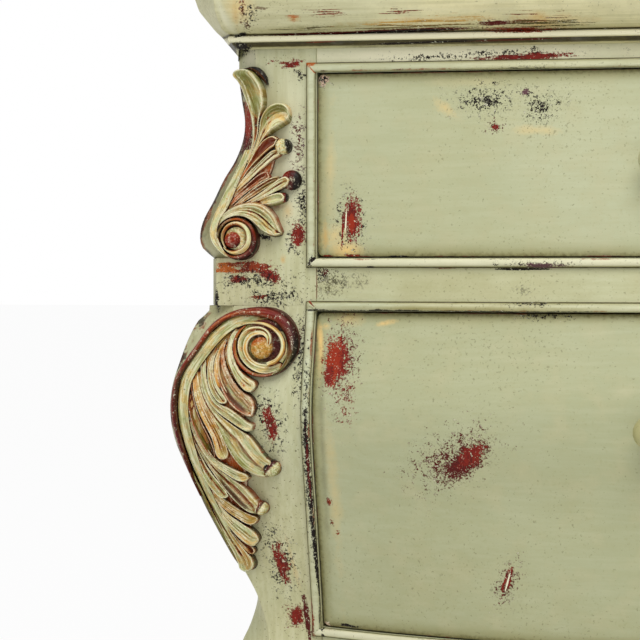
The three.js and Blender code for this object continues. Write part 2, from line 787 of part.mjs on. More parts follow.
// The origin moves to the middle of the chest's box
const part = new THREE.Group();
part.add(chest);
const extent = new THREE.Box3().setFromObject(chest);
chest.position.y = -(extent.min.y + extent.max.y) / 2;

export default part;
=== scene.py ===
"""The looks of a painted bombe chest with carved consoles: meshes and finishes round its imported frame.

Shapes are worked out in millimetres, with x = 0 in the middle, y = 0 on the front posts' upper face and z = 0
on the floor; the front looks along -y. They become metres in the frame's place when a piece is made.
"""

from __future__ import annotations

import json
import logging
import math
from bisect import bisect_right
from collections.abc import Callable, Mapping, Sequence
from dataclasses import dataclass
from enum import Enum
from functools import cached_property

import bmesh
import bpy
import numpy as np
from mathutils import Matrix, Vector
from mathutils.bvhtree import BVHTree

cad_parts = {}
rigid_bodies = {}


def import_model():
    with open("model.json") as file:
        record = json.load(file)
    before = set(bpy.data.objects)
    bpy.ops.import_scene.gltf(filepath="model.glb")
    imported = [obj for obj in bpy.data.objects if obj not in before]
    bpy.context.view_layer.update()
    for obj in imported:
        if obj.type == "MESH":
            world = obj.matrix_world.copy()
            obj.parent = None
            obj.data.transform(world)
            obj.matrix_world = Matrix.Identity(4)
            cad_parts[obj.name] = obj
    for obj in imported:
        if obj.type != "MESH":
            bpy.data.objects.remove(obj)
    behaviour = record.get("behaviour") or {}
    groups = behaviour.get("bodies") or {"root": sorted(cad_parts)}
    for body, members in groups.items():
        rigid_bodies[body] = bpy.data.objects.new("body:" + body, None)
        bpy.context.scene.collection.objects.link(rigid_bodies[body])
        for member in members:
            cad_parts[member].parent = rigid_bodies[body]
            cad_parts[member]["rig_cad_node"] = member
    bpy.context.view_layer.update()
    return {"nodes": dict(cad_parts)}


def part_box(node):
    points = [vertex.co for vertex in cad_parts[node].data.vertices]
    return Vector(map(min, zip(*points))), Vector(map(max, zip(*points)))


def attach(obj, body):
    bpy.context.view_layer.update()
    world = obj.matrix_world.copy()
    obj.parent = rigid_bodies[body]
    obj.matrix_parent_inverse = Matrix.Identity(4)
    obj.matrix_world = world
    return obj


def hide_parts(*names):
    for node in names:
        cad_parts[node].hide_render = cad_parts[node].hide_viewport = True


MM = 0.001
SPLINE_STEPS = 10
ROUNDING_STEPS = 3
SIGHT_ROUNDS = 6
BUMP = 0.6
SHEEN = 0.22
Point = tuple[float, float]
Dress = tuple[Vector, float, float]
Material = bpy.types.Material
Socket = bpy.types.NodeSocket
Vert = bmesh.types.BMVert
log = logging.getLogger("chest")


class Side(Enum):
    """The two halves of the chest, as the sign of their x."""

    LEFT = -1
    RIGHT = 1


class Body(Enum):
    """The bodies that a piece can ride on."""

    CARCASE = "carcase"
    UPPER_DRAWER = "upper_drawer"
    LOWER_DRAWER = "lower_drawer"


class Slot(Enum):
    """The kinds of finish of the scene's own pieces, each of which gives a piece's name its ending."""

    PAINT = "painted_green"
    CARVING = "carved_glaze"
    KNOB = "knob_paint"


ENDINGS = {Slot.PAINT: "painted", Slot.CARVING: "carved", Slot.KNOB: "turned"}


class Tone(Enum):
    """The colours of the finish, as red, green and blue from 0 to 255."""

    SAGE = (192, 193, 154)
    PANEL = (181, 184, 147)
    # The lower front's paint, a darker copy of PANEL as painted shade on a front that curves under.
    DEEP_PANEL = (176, 179, 142)
    # The cornice's paint, lightened as painted light against the shade on its down-facing ogee.
    BUFF = (232, 224, 178)
    HONEY = (250, 214, 122)
    MOSS = (214, 224, 160)
    SHADE = (180, 150, 94)
    WARM = (206, 195, 147)
    DULL = (168, 164, 118)
    COOL = (196, 200, 168)
    BRIGHT = (222, 220, 190)
    CREAM = (236, 231, 200)
    PALE = (202, 202, 166)
    LEAF = (160, 158, 104)
    KHAKI = (134, 126, 66)
    OLIVE = (78, 70, 34)
    AMBER = (240, 202, 128)
    OCHRE = (206, 162, 86)
    ORANGE = (184, 96, 38)
    RUST = (140, 52, 22)
    ROSE = (150, 84, 70)
    RED = (128, 32, 20)
    BRICK = (150, 44, 18)
    MAROON = (84, 20, 15)
    UMBER = (88, 48, 20)
    PLUM = (96, 66, 70)
    BLACK = (26, 17, 14)
    RAW = (214, 184, 160)
    OAK = (190, 152, 106)
    OAK_DARK = (142, 100, 60)
    OAK_PALE = (212, 180, 136)
    FLOOR = (246, 246, 244)

    @property
    def colour(self) -> tuple[float, float, float, float]:
        """The tone in linear light, for a shader's socket."""
        return tuple([linear(part / 255) for part in self.value] + [1.0])


def tones(words: str) -> list[Tone]:
    """Returns the tones that words name."""
    return [Tone[word.upper()] for word in words.split()]


def linear(part: float) -> float:
    """Returns an sRGB part from 0 to 1 in linear light."""
    return part / 12.92 if part <= 0.04045 else ((part + 0.055) / 1.055) ** 2.4


def stretch(start: float, end: float, share: float) -> float:
    """Returns the value that lies at a share of the way from start to end."""
    return start + (end - start) * share


def eased(value: float, start: float, end: float) -> float:
    """Returns a smooth 0 to 1 step of a value between start and end."""
    share = min(1.0, max(0.0, (value - start) / (end - start)))
    return share * share * (3 - 2 * share)


def steps(start: float, end: float, count: int) -> list[float]:
    """Returns count + 1 even steps from start to end."""
    return [stretch(start, end, i / count) for i in range(count + 1)]


class Curve:
    """A smooth curve through stations of rising place, level at both ends."""

    def __init__(self, stations: Sequence[Point]) -> None:
        """Takes the stations.

        Args:
            stations: Pairs of a place and the curve's value there.
        """
        self.places = [place for place, _ in stations]
        self.values = [value for _, value in stations]
        last = len(stations) - 1
        self.slopes = [0.0] * len(stations)
        for i in range(1, last):
            rise = self.values[i + 1] - self.values[i - 1]
            self.slopes[i] = rise / (self.places[i + 1] - self.places[i - 1])

    def __call__(self, place: float) -> float:
        """Returns the curve's value at a place."""
        if place <= self.places[0]:
            return self.values[0]
        if place >= self.places[-1]:
            return self.values[-1]
        i = bisect_right(self.places, place) - 1
        run = self.places[i + 1] - self.places[i]
        t = (place - self.places[i]) / run
        ease = 3 * t**2 - 2 * t**3
        start, end = t**3 - 2 * t**2 + t, t**3 - t**2
        lean = run * (start * self.slopes[i] + end * self.slopes[i + 1])
        return stretch(self.values[i], self.values[i + 1], ease) + lean


def spline(points: Sequence[Sequence[float]], count: int, ease: float = 1.0) -> list[Vector]:
    """Runs a smooth line through points.

    Args:
        points: The places that the line passes through, in two or three dimensions.
        count: How many steps the line is cut into.
        ease: Above 1, the steps get shorter towards the end.

    Returns:
        count + 1 places along the line.
    """
    places = [Vector(point) for point in points]
    places = [places[0] * 2 - places[1], *places, places[-1] * 2 - places[-2]]
    fine: list[Vector] = []
    for before, here, there, after in zip(places, places[1:], places[2:], places[3:]):
        for t in steps(0, 1, SPLINE_STEPS)[:-1]:
            curve = here * 2 + (there - before) * t
            curve += (before * 2 - here * 5 + there * 4 - after) * t**2
            curve += (here * 3 - before - there * 3 + after) * t**3
            fine.append(curve * 0.5)
    fine.append(places[-2])
    reach = [0.0]
    for here, there in zip(fine, fine[1:]):
        reach.append(reach[-1] + (there - here).length)
    line = []
    for share in steps(0, 1, count):
        goal = reach[-1] * (1 - (1 - share) ** ease)
        i = min(len(fine) - 2, max(0, bisect_right(reach, goal) - 1))
        part = (goal - reach[i]) / max(reach[i + 1] - reach[i], 1e-9)
        line.append(fine[i].lerp(fine[i + 1], part))
    return line


def rounded(outline: Sequence[Point], radii: Sequence[float]) -> list[tuple[Vector, float]]:
    """Rounds the corners of a closed outline.

    Args:
        outline: The corners, in order.
        radii: The radius of each corner.

    Returns:
        The outline's places, each with its share of a corner: 1 in the middle of a rounding, 0 at its ends.
    """
    made: list[tuple[Vector, float]] = []
    corners = [Vector(corner) for corner in outline]
    for i, corner in enumerate(corners):
        before = (corners[i - 1] - corner).normalized()
        after = (corners[(i + 1) % len(corners)] - corner).normalized()
        if radii[i] <= 0:
            made.append((corner, 0.0))
            continue
        half = before.angle(after) / 2
        back = radii[i] / math.tan(half)
        centre = corner + (before + after).normalized() * (radii[i] / math.sin(half))
        start, end = corner + before * back - centre, corner + after * back - centre
        for share in steps(0, 1, ROUNDING_STEPS):
            arm = start.slerp(end, share)
            made.append((centre + arm, 1 - abs(2 * share - 1)))
    return made


@dataclass(frozen=True)
class Viewpoint:
    """Where the photograph was taken from: its distance from the posts' face, height, turn and lens."""

    distance: float = 2500.0
    height: float = 530.0
    aside: float = 500.0
    horizon_row: float = 265.0
    frame: int = 640
    sensor: float = 36.0

    @property
    def yaw(self) -> float:
        """How far the camera is turned to the left, in radians."""
        return math.atan2(self.aside, self.distance)

    @property
    def focal(self) -> float:
        """The focal length in pixels: one pixel is one millimetre on the posts' face."""
        return self.distance / math.cos(self.yaw)

    @property
    def pitch(self) -> float:
        """How far the camera looks down, in radians."""
        return math.atan((self.frame / 2 - self.horizon_row) / self.focal)

    @property
    def lens(self) -> float:
        """The lens in millimetres."""
        return self.sensor * self.focal / self.frame

    @property
    def place(self) -> Vector:
        """The camera's place."""
        return Vector((0, -self.distance, self.height))

    def axes(self) -> tuple[Vector, Vector, Vector]:
        """Returns the camera's right, up and forward directions."""
        level = math.cos(self.pitch)
        forward = Vector((-math.sin(self.yaw) * level, math.cos(self.yaw) * level, -math.sin(self.pitch)))
        right = Vector((math.cos(self.yaw), math.sin(self.yaw), 0))
        return right, right.cross(forward), forward

    def ray(self, pick: Sequence[float]) -> Vector:
        """Returns the direction in which the camera sees a pixel of the photograph."""
        right, up, forward = self.axes()
        middle = self.frame / 2
        return forward + right * ((pick[0] - middle) / self.focal) + up * ((middle - pick[1]) / self.focal)


@dataclass(frozen=True)
class Carcase:
    """The chest's driving sizes, and the curves that its front and its posts follow."""

    opening_width: float = 1008.0
    post_reach: float = 150.0
    depth: float = 440.0
    rail_bottom: float = 110.0
    bottom_rail: float = 53.0
    lower_opening: float = 321.0
    middle_rail: float = 53.0
    upper_opening: float = 185.0
    head: float = 100.0
    top_thickness: float = 28.0
    belly_push: float = 29.0
    bow_at_top: float = 6.0
    bow_at_waist: float = 37.0
    bow_at_base: float = 75.0
    bow_power: float = 2.6
    apron_dip: float = 5.0
    apron_scoop: float = 12.0
    post_depth: float = 60.0
    cant_depth: float = 24.0
    waist_ease: float = 0.25
    cornice_height: float = 83.0
    block_bottom_share: float = 0.1
    block_corner_share: float = 0.7
    block_flank_share: float = 0.747
    view: Viewpoint = Viewpoint()

    @property
    def stile(self) -> float:
        """Where the opening ends, from the middle."""
        return self.opening_width / 2

    @property
    def lower_floor(self) -> float:
        """The height of the lower opening's floor."""
        return self.rail_bottom + self.bottom_rail

    @property
    def lower_ceiling(self) -> float:
        """The height of the lower opening's ceiling."""
        return self.lower_floor + self.lower_opening

    @property
    def upper_floor(self) -> float:
        """The height of the upper opening's floor."""
        return self.lower_ceiling + self.middle_rail

    @property
    def upper_ceiling(self) -> float:
        """The height of the upper opening's ceiling."""
        return self.upper_floor + self.upper_opening

    @property
    def top(self) -> float:
        """The height of the carcase without its top board."""
        return self.upper_ceiling + self.head

    @property
    def cornice_bottom(self) -> float:
        """The height of the cornice's foot, above which the top rail stands upright."""
        return self.top - self.cornice_height

    @property
    def block(self) -> tuple[float, float]:
        """The lowest and highest height of the block between the carvings."""
        return stretch(self.lower_ceiling, self.upper_floor, self.block_bottom_share), self.upper_floor

    def lower_z(self, share: float) -> float:
        """Returns the height at a share of the lower opening."""
        return stretch(self.lower_floor, self.lower_ceiling, share)

    def upper_z(self, share: float) -> float:
        """Returns the height at a share of the upper opening."""
        return stretch(self.upper_floor, self.upper_ceiling, share)

    @cached_property
    def push_curve(self) -> Curve:
        """How far the whole front stands forward at a height, as a share of the belly's push."""
        waist = stretch(self.lower_ceiling, self.upper_floor, self.waist_ease)
        return Curve([(0, 0.1), (self.lower_floor * 0.4, -0.55), (self.lower_floor * 0.75, -0.92),
                      (self.lower_z(0.02), -1), (self.lower_z(0.34), 0), (self.lower_z(0.68), 1),
                      (self.lower_z(0.92), 0.36), (waist, 0)])

    @cached_property
    def bow_curve(self) -> Curve:
        """How far the front's middle bows forward of its ends at a height."""
        return Curve([(self.lower_floor, self.bow_at_base),
                      (self.lower_z(0.45), stretch(self.bow_at_base, self.bow_at_waist, 0.7)),
                      (self.lower_ceiling, self.bow_at_waist),
                      (self.upper_floor, stretch(self.bow_at_waist, self.bow_at_top, 0.3)),
                      (self.upper_ceiling, self.bow_at_top), (self.cornice_bottom, 0.0)])

    @cached_property
    def outline_curves(self) -> tuple[list[Curve], list[Curve]]:
        """The post's corner, flank and inner side as shares of its reach, below and above the block."""
        foot = [(0, 0.53, 0.65, 0.2), (0.2, 0.53, 0.68, 0.22), (0.45, 0.47, 0.72, 0.16),
                (0.68, 0.39, 0.67, 0), (0.86, 0.37, 0.6, 0)]
        lower = [(0, 0.39, 0.53), (0.085, 0.445, 0.475), (0.13, 0.485, 0.495), (0.2, 0.56, 0.567),
                 (0.31, 0.675, 0.7), (0.43, 0.787, 0.84), (0.56, 0.887, 0.953), (0.63, 0.925, 0.99),
                 (0.7, 0.927, 1), (0.77, 0.893, 0.987), (0.845, 0.817, 0.947), (0.905, 0.733, 0.907),
                 (0.97, 0.607, 0.84), (1, 0.573, 0.773)]
        upper = [(0, 0.6, 0.745), (0.045, 0.667, 0.813), (0.105, 0.733, 0.84), (0.2, 0.72, 0.82),
                 (0.31, 0.667, 0.747), (0.43, 0.593, 0.673), (0.535, 0.507, 0.593), (0.645, 0.46, 0.54),
                 (0.75, 0.447, 0.527), (0.86, 0.43, 0.547), (1, 0.42, 0.567)]
        below = [(self.lower_floor * share, *rest) for share, *rest in foot]
        below += [(self.lower_z(share), *rest, 0) for share, *rest in lower]
        above = [(self.upper_z(share), *rest, 0) for share, *rest in upper]
        return tuple([Curve([(row[0], row[column]) for row in rows]) for column in (1, 2, 3)]
                     for rows in (below, above))

    def push(self, z: float) -> float:
        """Returns how far the posts' face stands forward at a height."""
        return self.belly_push * self.push_curve(z)

    def bow_shape(self, x: float) -> float:
        """Returns the share of the bow at a distance from the middle."""
        return 1 - min(1.0, abs(x) / self.stile) ** self.bow_power

    def front(self, x: float, z: float) -> float:
        """Returns how far the front stands forward of the upper posts' face."""
        return self.push(z) + self.bow_curve(z) * self.bow_shape(x)

    def outline(self, z: float, above: bool | None = None) -> tuple[float, float, float]:
        """Finds the post's shape at a height.

        Args:
            z: The height.
            above: Which side of the block's top to take, or nothing for the side that z lies on.

        Returns:
            The x of the post's front corner, of its flank and of its inner side, from the middle.
        """
        zone = z >= self.upper_floor if above is None else above
        curves = self.outline_curves[1 if zone else 0]
        return tuple(self.stile + self.post_reach * max(0.0, curve(z)) for curve in curves)

    def lower_edge(self, x: float) -> float:
        """Returns the height of the lower opening's floor at a distance from the middle."""
        return self.lower_floor - self.apron_dip * self.bow_shape(x)

    def apron_edge(self, x: float) -> float:
        """Returns the height of the apron's lower edge at a distance from the middle."""
        return self.rail_bottom - self.apron_scoop * self.bow_shape(x)

    def face_plane(self) -> float:
        """Returns the frame's y of the upper posts' face, in metres."""
        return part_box("left_rear_post")[1].y - self.depth * MM

    def seen(self, pick: Sequence[float], lift: float = 0.0) -> Vector:
        """Finds what a pixel of the photograph shows.

        Args:
            pick: The pixel's column and row.
            lift: How far forward of the front the seen place lies.

        Returns:
            The place in millimetres.
        """
        ray = self.view.ray(pick)
        start = self.view.place
        forward = lift
        for _ in range(SIGHT_ROUNDS):
            place = start + ray * ((-forward - start.y) / ray.y)
            forward = self.front(place.x, place.z) + lift
        return place


class Shape:
    """A mesh in the making, with painter's marks on its vertices."""

    # rub marks worn edges. The grime mark is darkening in creases and recesses, under the cornice's bead and
    # on the posts' flanks, partly dirt and partly painted shade. crest marks a painted highlight on the paint
    # and chipping on the carving.
    MARKS = ("rub", "grime", "crest")

    def __init__(self) -> None:
        """Starts an empty mesh with its layers."""
        self.mesh = bmesh.new()
        for name in self.MARKS:
            self.mesh.verts.layers.float.new(name)
        self.mesh.verts.layers.float_color.new("hue")
        self.mesh.verts.layers.float_vector.new("flow")
        self.find_layers()

    def loft(self, rings: Sequence[Sequence[Vector]],
             marks: Mapping[str, Sequence[float]] | None = None) -> list[list[Vert]]:
        """Sweeps a closed ring through stations by extruding its edges, and closes both ends.

        Args:
            rings: The places of the ring's points at each station.
            marks: The marks of each of the ring's points, by name.

        Returns:
            The vertices of each ring.
        """
        row = [self.mesh.verts.new(place) for place in rings[0]]
        edges = [self.mesh.edges.new(pair) for pair in zip(row, row[1:] + row[:1])]
        rows = [row]
        for ring in rings[1:]:
            made = bmesh.ops.extrude_edge_only(self.mesh, edges=edges)["geom"]
            fresh = {item for item in made if isinstance(item, Vert)}
            edges = [item for item in made
                     if isinstance(item, bmesh.types.BMEdge) and fresh.issuperset(item.verts)]
            row = []
            for vert, place in zip(rows[-1], ring):
                others = (edge.other_vert(vert) for edge in vert.link_edges)
                row.append(next(other for other in others if other in fresh))
                row[-1].co = place
            rows.append(row)
        for row in (rows[0], rows[-1]):
            self.mesh.faces.new(row)
        for row in rows:
            self.mark(row, marks or {})
        return rows

    def mark(self, row: Sequence[Vert], marks: Mapping[str, Sequence[float] | float]) -> None:
        """Gives a row of vertices their marks.

        Args:
            row: The vertices.
            marks: By name, one value for all of them or a list with one for each.
        """
        for name, values in marks.items():
            each = values if isinstance(values, Sequence) else [values] * len(row)
            for vert, value in zip(row, each):
                vert[self.marks[name]] = value

    def absorb(self, other: Shape) -> None:
        """Takes in another shape, which ends with that."""
        data = bpy.data.meshes.new("absorbed")
        other.mesh.to_mesh(data)
        other.mesh.free()
        self.mesh.from_mesh(data)
        bpy.data.meshes.remove(data)
        self.find_layers()

    def find_layers(self) -> None:
        """Looks up the mesh's layers by name."""
        layers = self.mesh.verts.layers
        self.marks = {name: layers.float[name] for name in self.MARKS}
        self.hue, self.flow = layers.float_color["hue"], layers.float_vector["flow"]

    def mirrored(self) -> Shape:
        """Returns the same shape for the other side of the chest."""
        other = Shape()
        other.mesh.free()
        other.mesh = self.mesh.copy()
        other.find_layers()
        bmesh.ops.scale(other.mesh, vec=(-1, 1, 1), verts=other.mesh.verts)
        bmesh.ops.reverse_faces(other.mesh, faces=other.mesh.faces)
        return other


class Signal:
    """A shader value that Python's sums act on."""

    def __init__(self, recipe: Recipe, socket: Socket) -> None:
        """Keeps the recipe that makes its nodes and the socket that it stands for."""
        self.recipe = recipe
        self.socket = socket

    def __add__(self, other: Signal | float) -> Signal:
        """Returns the sum."""
        return self.recipe.maths("ADD", self, other)

    def __sub__(self, other: Signal | float) -> Signal:
        """Returns the difference."""
        return self.recipe.maths("SUBTRACT", self, other)

    def __rsub__(self, other: float) -> Signal:
        """Returns the difference from a number."""
        return self.recipe.maths("SUBTRACT", other, self)

    def __mul__(self, other: Signal | float) -> Signal:
        """Returns the product."""
        return self.recipe.maths("MULTIPLY", self, other)

    __radd__ = __add__
    __rmul__ = __mul__

    def clamped(self) -> Signal:
        """Returns the value held between 0 and 1."""
        return self.recipe.maths("ADD", self, 0.0, clamp=True)

    def over(self, edge: float, width: float) -> Signal:
        """Returns a soft step from 0 to 1 as the value passes an edge."""
        return self.recipe.maths("MULTIPLY_ADD", self, 1 / width, 0.5 - edge / width, clamp=True)


class Recipe:
    """One material in the making, as a tree of shader nodes."""

    def __init__(self, name: str) -> None:
        """Starts an empty material."""
        self.material = bpy.data.materials.new(name)
        self.material.use_nodes = True
        self.tree = self.material.node_tree
        self.tree.nodes.clear()
        self.place = self.node("ShaderNodeTexCoord").outputs["Object"]

    def node(self, kind: str, settings: Mapping[str, object] | None = None,
             values: Mapping[str | int, object] | None = None) -> bpy.types.Node:
        """Adds a node.

        Args:
            kind: The node's type.
            settings: Its own settings, and a ramp's stops as pairs of place and tone.
            values: The number, colour, signal or socket for each of its input sockets.

        Returns:
            The node.
        """
        made = self.tree.nodes.new(kind)
        for name, setting in (settings or {}).items():
            if name != "stops":
                setattr(made, name, setting)
                continue
            while len(made.color_ramp.elements) < len(setting):
                made.color_ramp.elements.new(1.0)
            for element, (place, tone) in zip(made.color_ramp.elements, setting):
                element.position = place
                element.color = tone.colour
        for name, value in (values or {}).items():
            value = value.socket if isinstance(value, Signal) else value
            value = value.colour if isinstance(value, Tone) else value
            if isinstance(value, Socket):
                self.tree.links.new(value, made.inputs[name])
            else:
                made.inputs[name].default_value = value
        return made

    def maths(self, operation: str, *values: Signal | float, clamp: bool = False) -> Signal:
        """Returns the outcome of a sum of two or three values."""
        settings = {"operation": operation, "use_clamp": clamp}
        return Signal(self, self.node("ShaderNodeMath", settings, dict(enumerate(values))).outputs[0])

    def mark(self, name: str) -> Signal:
        """Returns one of the painter's marks on the vertices."""
        return Signal(self, self.node("ShaderNodeAttribute", {"attribute_name": name}).outputs["Fac"])

    def stretched(self, scale: Sequence[float]) -> Socket:
        """Returns the object's coordinates scaled along each axis."""
        values = {"Vector": self.place, "Scale": scale}
        return self.node("ShaderNodeMapping", {"vector_type": "POINT"}, values).outputs["Vector"]

    def noise(self, scale: float, detail: float = 3.0, rough: float = 0.5, place: object = None,
              bend: float = 0.0) -> Signal:
        """Adds a cloud of noise.

        Args:
            scale: How many swings it makes in a metre.
            detail: How many finer layers it has.
            rough: How strong the finer layers are.
            place: The coordinates, or nothing for the object's own.
            bend: How far it is distorted.

        Returns:
            A value round 0.5.
        """
        values = {"Vector": place or self.place, "Scale": scale, "Detail": detail, "Roughness": rough,
                  "Distortion": bend}
        return Signal(self, self.node("ShaderNodeTexNoise", {}, values).outputs[0])

    def blend(self, below: object, above: object, share: Signal, mode: str = "MIX") -> Socket:
        """Lays one colour over another and returns the outcome."""
        settings = {"data_type": "RGBA", "blend_type": mode, "clamp_factor": True}
        return self.node("ShaderNodeMix", settings, {0: share, 6: below, 7: above}).outputs[2]

    def layered(self, colour: object, layers: Sequence[tuple[Tone, Signal]], mode: str = "MIX") -> object:
        """Lays tones over a colour, one after another, each by its own share."""
        for tone, share in layers:
            colour = self.blend(colour, tone, share, mode)
        return colour

    def surface(self, colour: object, rough: Signal, height: Signal, depth: float) -> Material:
        """Ends the material in one surface.

        Args:
            colour: Its colour.
            rough: Its roughness.
            height: A relief from 0 to 1.
            depth: How deep the relief is in metres.

        Returns:
            The finished material.
        """
        bump = self.node("ShaderNodeBump", {}, {"Strength": BUMP, "Distance": depth, "Height": height})
        values = {"Base Color": colour, "Roughness": rough, "Specular IOR Level": SHEEN,
                  "Normal": bump.outputs["Normal"]}
        shader = self.node("ShaderNodeBsdfPrincipled", {}, values)
        self.node("ShaderNodeOutputMaterial", {}, {"Surface": shader.outputs[0]})
        return self.material


class PatchStyle(Enum):
    """How a patch looks, for worn places and stains and for patches of painted light and shade.

    The values are its grain's swings in a metre along each axis, its core as a share of its size, and how
    ragged and how gritty its edge is.
    """

    SOLID = ((95.0, 95.0, 95.0), 1.2, 0.95, 1.5)
    UPRIGHT = ((260.0, 260.0, 60.0), 1.1, 1.4, 1.3)
    LEVEL = ((45.0, 240.0, 300.0), 1.0, 1.5, 1.2)
    LINE = ((25.0, 90.0, 90.0), 1.0, 0.8, 0.6)
    THREAD = ((22.0, 500.0, 560.0), 0.35, 2.6, 0.8)
    SPECKS = ((150.0, 150.0, 150.0), 0.42, 2.2, 3.8)
    STAIN = ((30.0, 30.0, 30.0), 0.85, 1.2, 0.25)
    WASH = ((14.0, 14.0, 14.0), 1.35, 0.7, 0.2)


SOFT_STYLES = (PatchStyle.STAIN, PatchStyle.WASH)


@dataclass(frozen=True)
class Patch:
    """A place where the finish is rubbed, stained or chipped, picked on the photograph's pixels.

    lift is how far forward of the front the place lies, as on the cornice. Some patches paint light, and some
    paint shade.
    """

    at: Point
    half: Point
    tone: Tone
    wear: PatchStyle
    turn: float = 0.0
    strength: float = 1.0
    lift: float = 0.0


def picked(*rows: tuple[float | str, ...]) -> tuple[Patch, ...]:
    """Makes patches.

    Args:
        rows: For each patch the pixel of its middle, its half width and half height, the words for its tone
        and its style and, where it has them, its turn in degrees, its strength and its lift.

    Returns:
        The patches.
    """
    made = []
    for x, y, wide, high, words, *rest in rows:
        tone, wear = words.upper().split()
        made.append(Patch((x, y), (wide, high), Tone[tone], PatchStyle[wear], *rest))
    return tuple(made)


@dataclass(frozen=True)
class Paint:
    """Sage paint over a red-brown ground, brushed one way, aged and worn through in places.

    brush gives the brush marks' swings in a metre along each axis. warm, specks and streaks are the strengths
    of the warm clouds, the pepper specks and the brush marks. depth is how far a patch reaches back from its
    place, in millimetres, so that it doesn't smear along the sides. The grime mark and some patches paint
    shade, and the crest mark and some patches paint light.
    """

    name: str
    chest: Carcase
    brush: tuple[float, float, float] = (14.0, 160.0, 160.0)
    patches: tuple[Patch, ...] = ()
    warm: float = 0.35
    specks: float = 0.35
    base: Tone = Tone.SAGE
    streaks: float = 1.0
    depth: float = 200.0

    def material(self) -> Material:
        """Returns the finished material."""
        recipe = Recipe(self.name)
        cloud = recipe.noise(5.5, 3.0, 0.55)
        mottle = recipe.noise(34.0, 4.0, 0.6)
        fine = recipe.noise(260.0, 3.0, 0.6)
        brush = recipe.noise(1.0, 4.0, 0.62, recipe.stretched(self.brush))
        grime, rub = recipe.mark("grime"), recipe.mark("rub")
        worn = (rub * 1.5 - 1.15 + (mottle - 0.5) * 3.4 + (fine - 0.5) * 1.2).over(0.1, 0.3)
        dark = (rub * 1.6 - 1.3 + (recipe.noise(52.0, 4.0, 0.6) - 0.5) * 3.6).over(0.15, 0.25)
        colour = recipe.layered(self.base, (
            (Tone.WARM, cloud.over(0.5, 0.22) * (self.warm * 1.6)),
            (Tone.COOL, recipe.noise(3.1, 2.0).over(0.56, 0.2) * 0.45),
            (Tone.DULL, mottle.over(0.58, 0.24) * 0.38),
            (Tone.DULL, brush.over(0.56, 0.2) * (0.34 * self.streaks)),
            (Tone.BRIGHT, (1 - brush).over(0.58, 0.2) * (0.22 * self.streaks)),
            (Tone.KHAKI, fine.over(0.66, 0.12) * 0.16),
            # Khaki, olive and black laid by the grime mark: partly dirt, partly painted shade.
            (Tone.KHAKI, (grime * 1.2 + (mottle - 0.5) * 0.9 * grime).clamped() * 0.75),
            (Tone.OLIVE, (grime * 2.2 - 1.2 + (fine - 0.5) * 1.5).clamped() * 0.85),
            (Tone.BLACK, (grime * 3.0 - 2.4 + (mottle - 0.5) * 2.0).clamped() * 0.8),
            # Cream on the crest mark is a painted highlight, on the beads that face up and on the cornice's
            # bead.
            (Tone.CREAM, (recipe.mark("crest") * 0.9 + (mottle - 0.5) * 0.8).clamped() * 0.75),
            (Tone.RUST, worn * 0.75),
            (Tone.BLACK, dark * 0.8),
        ))
        bare = worn
        grit = recipe.noise(480.0, 3.0, 0.7)
        roughs: dict[PatchStyle, Signal] = {}
        dapple = recipe.noise(1.0, 4.0, 0.7, recipe.stretched((330.0, 330.0, 110.0)))
        dapple = dapple.over(0.53, 0.12) * 0.85
        for patch in self.patches:
            if patch.wear not in roughs:
                place, core, ragged, gritty = patch.wear.value
                grain = recipe.noise(1.0, 4.0, 0.62, recipe.stretched(place))
                rough = recipe.maths("MULTIPLY_ADD", grit, gritty * 2, core - ragged - gritty)
                roughs[patch.wear] = recipe.maths("MULTIPLY_ADD", grain, ragged * 2, rough)
            mask = self.mask(recipe, patch, roughs[patch.wear])
            dappled = patch.tone in (Tone.RED, Tone.RUST)
            tone = recipe.blend(patch.tone, Tone.MAROON, dapple) if dappled else patch.tone
            colour = recipe.blend(colour, tone, mask)
            if patch.wear not in SOFT_STYLES:
                bare = bare + mask
        pepper = (recipe.noise(390.0, 2.0, 0.5) + (cloud - 0.5) * 0.3).over(0.69, 0.06)
        colour = recipe.blend(colour, Tone.OLIVE, pepper * self.specks)
        bare = bare.clamped()
        colour = recipe.blend(colour, Tone.BRIGHT, bare * (grit * 0.6 + fine * 0.4).over(0.6, 0.04) * 0.8)
        height = brush * (0.45 * self.streaks) + mottle * 0.35 + fine * 0.2 - bare * 0.9
        return recipe.surface(colour, mottle * 0.22 + bare * 0.22 + 0.34, height, 0.0005)

    def mask(self, recipe: Recipe, patch: Patch, rough: Signal) -> Signal:
        """Makes the share of a patch's tone over the surface.

        Args:
            recipe: The material in the making.
            patch: The patch.
            rough: How far the patch covers in its middle, broken up by noise.

        Returns:
            A value from 0 to the patch's strength.
        """
        middle = self.chest.seen(patch.at, patch.lift) * MM + Vector((0, self.chest.face_plane(), 0))
        values = {"Vector": recipe.place, "Location": tuple(middle),
                  "Rotation": (0.0, math.radians(patch.turn), 0.0),
                  "Scale": (patch.half[0] * MM, self.depth * MM, patch.half[1] * MM)}
        near = recipe.node("ShaderNodeMapping", {"vector_type": "TEXTURE"}, values).outputs["Vector"]
        reach = recipe.node("ShaderNodeVectorMath", {"operation": "LENGTH"}, {0: near}).outputs["Value"]
        soft = 1.3 if patch.wear in SOFT_STYLES else 0.22
        mask = (rough - Signal(recipe, reach)).over(soft / 2, soft)
        return mask if patch.strength == 1 else mask * patch.strength


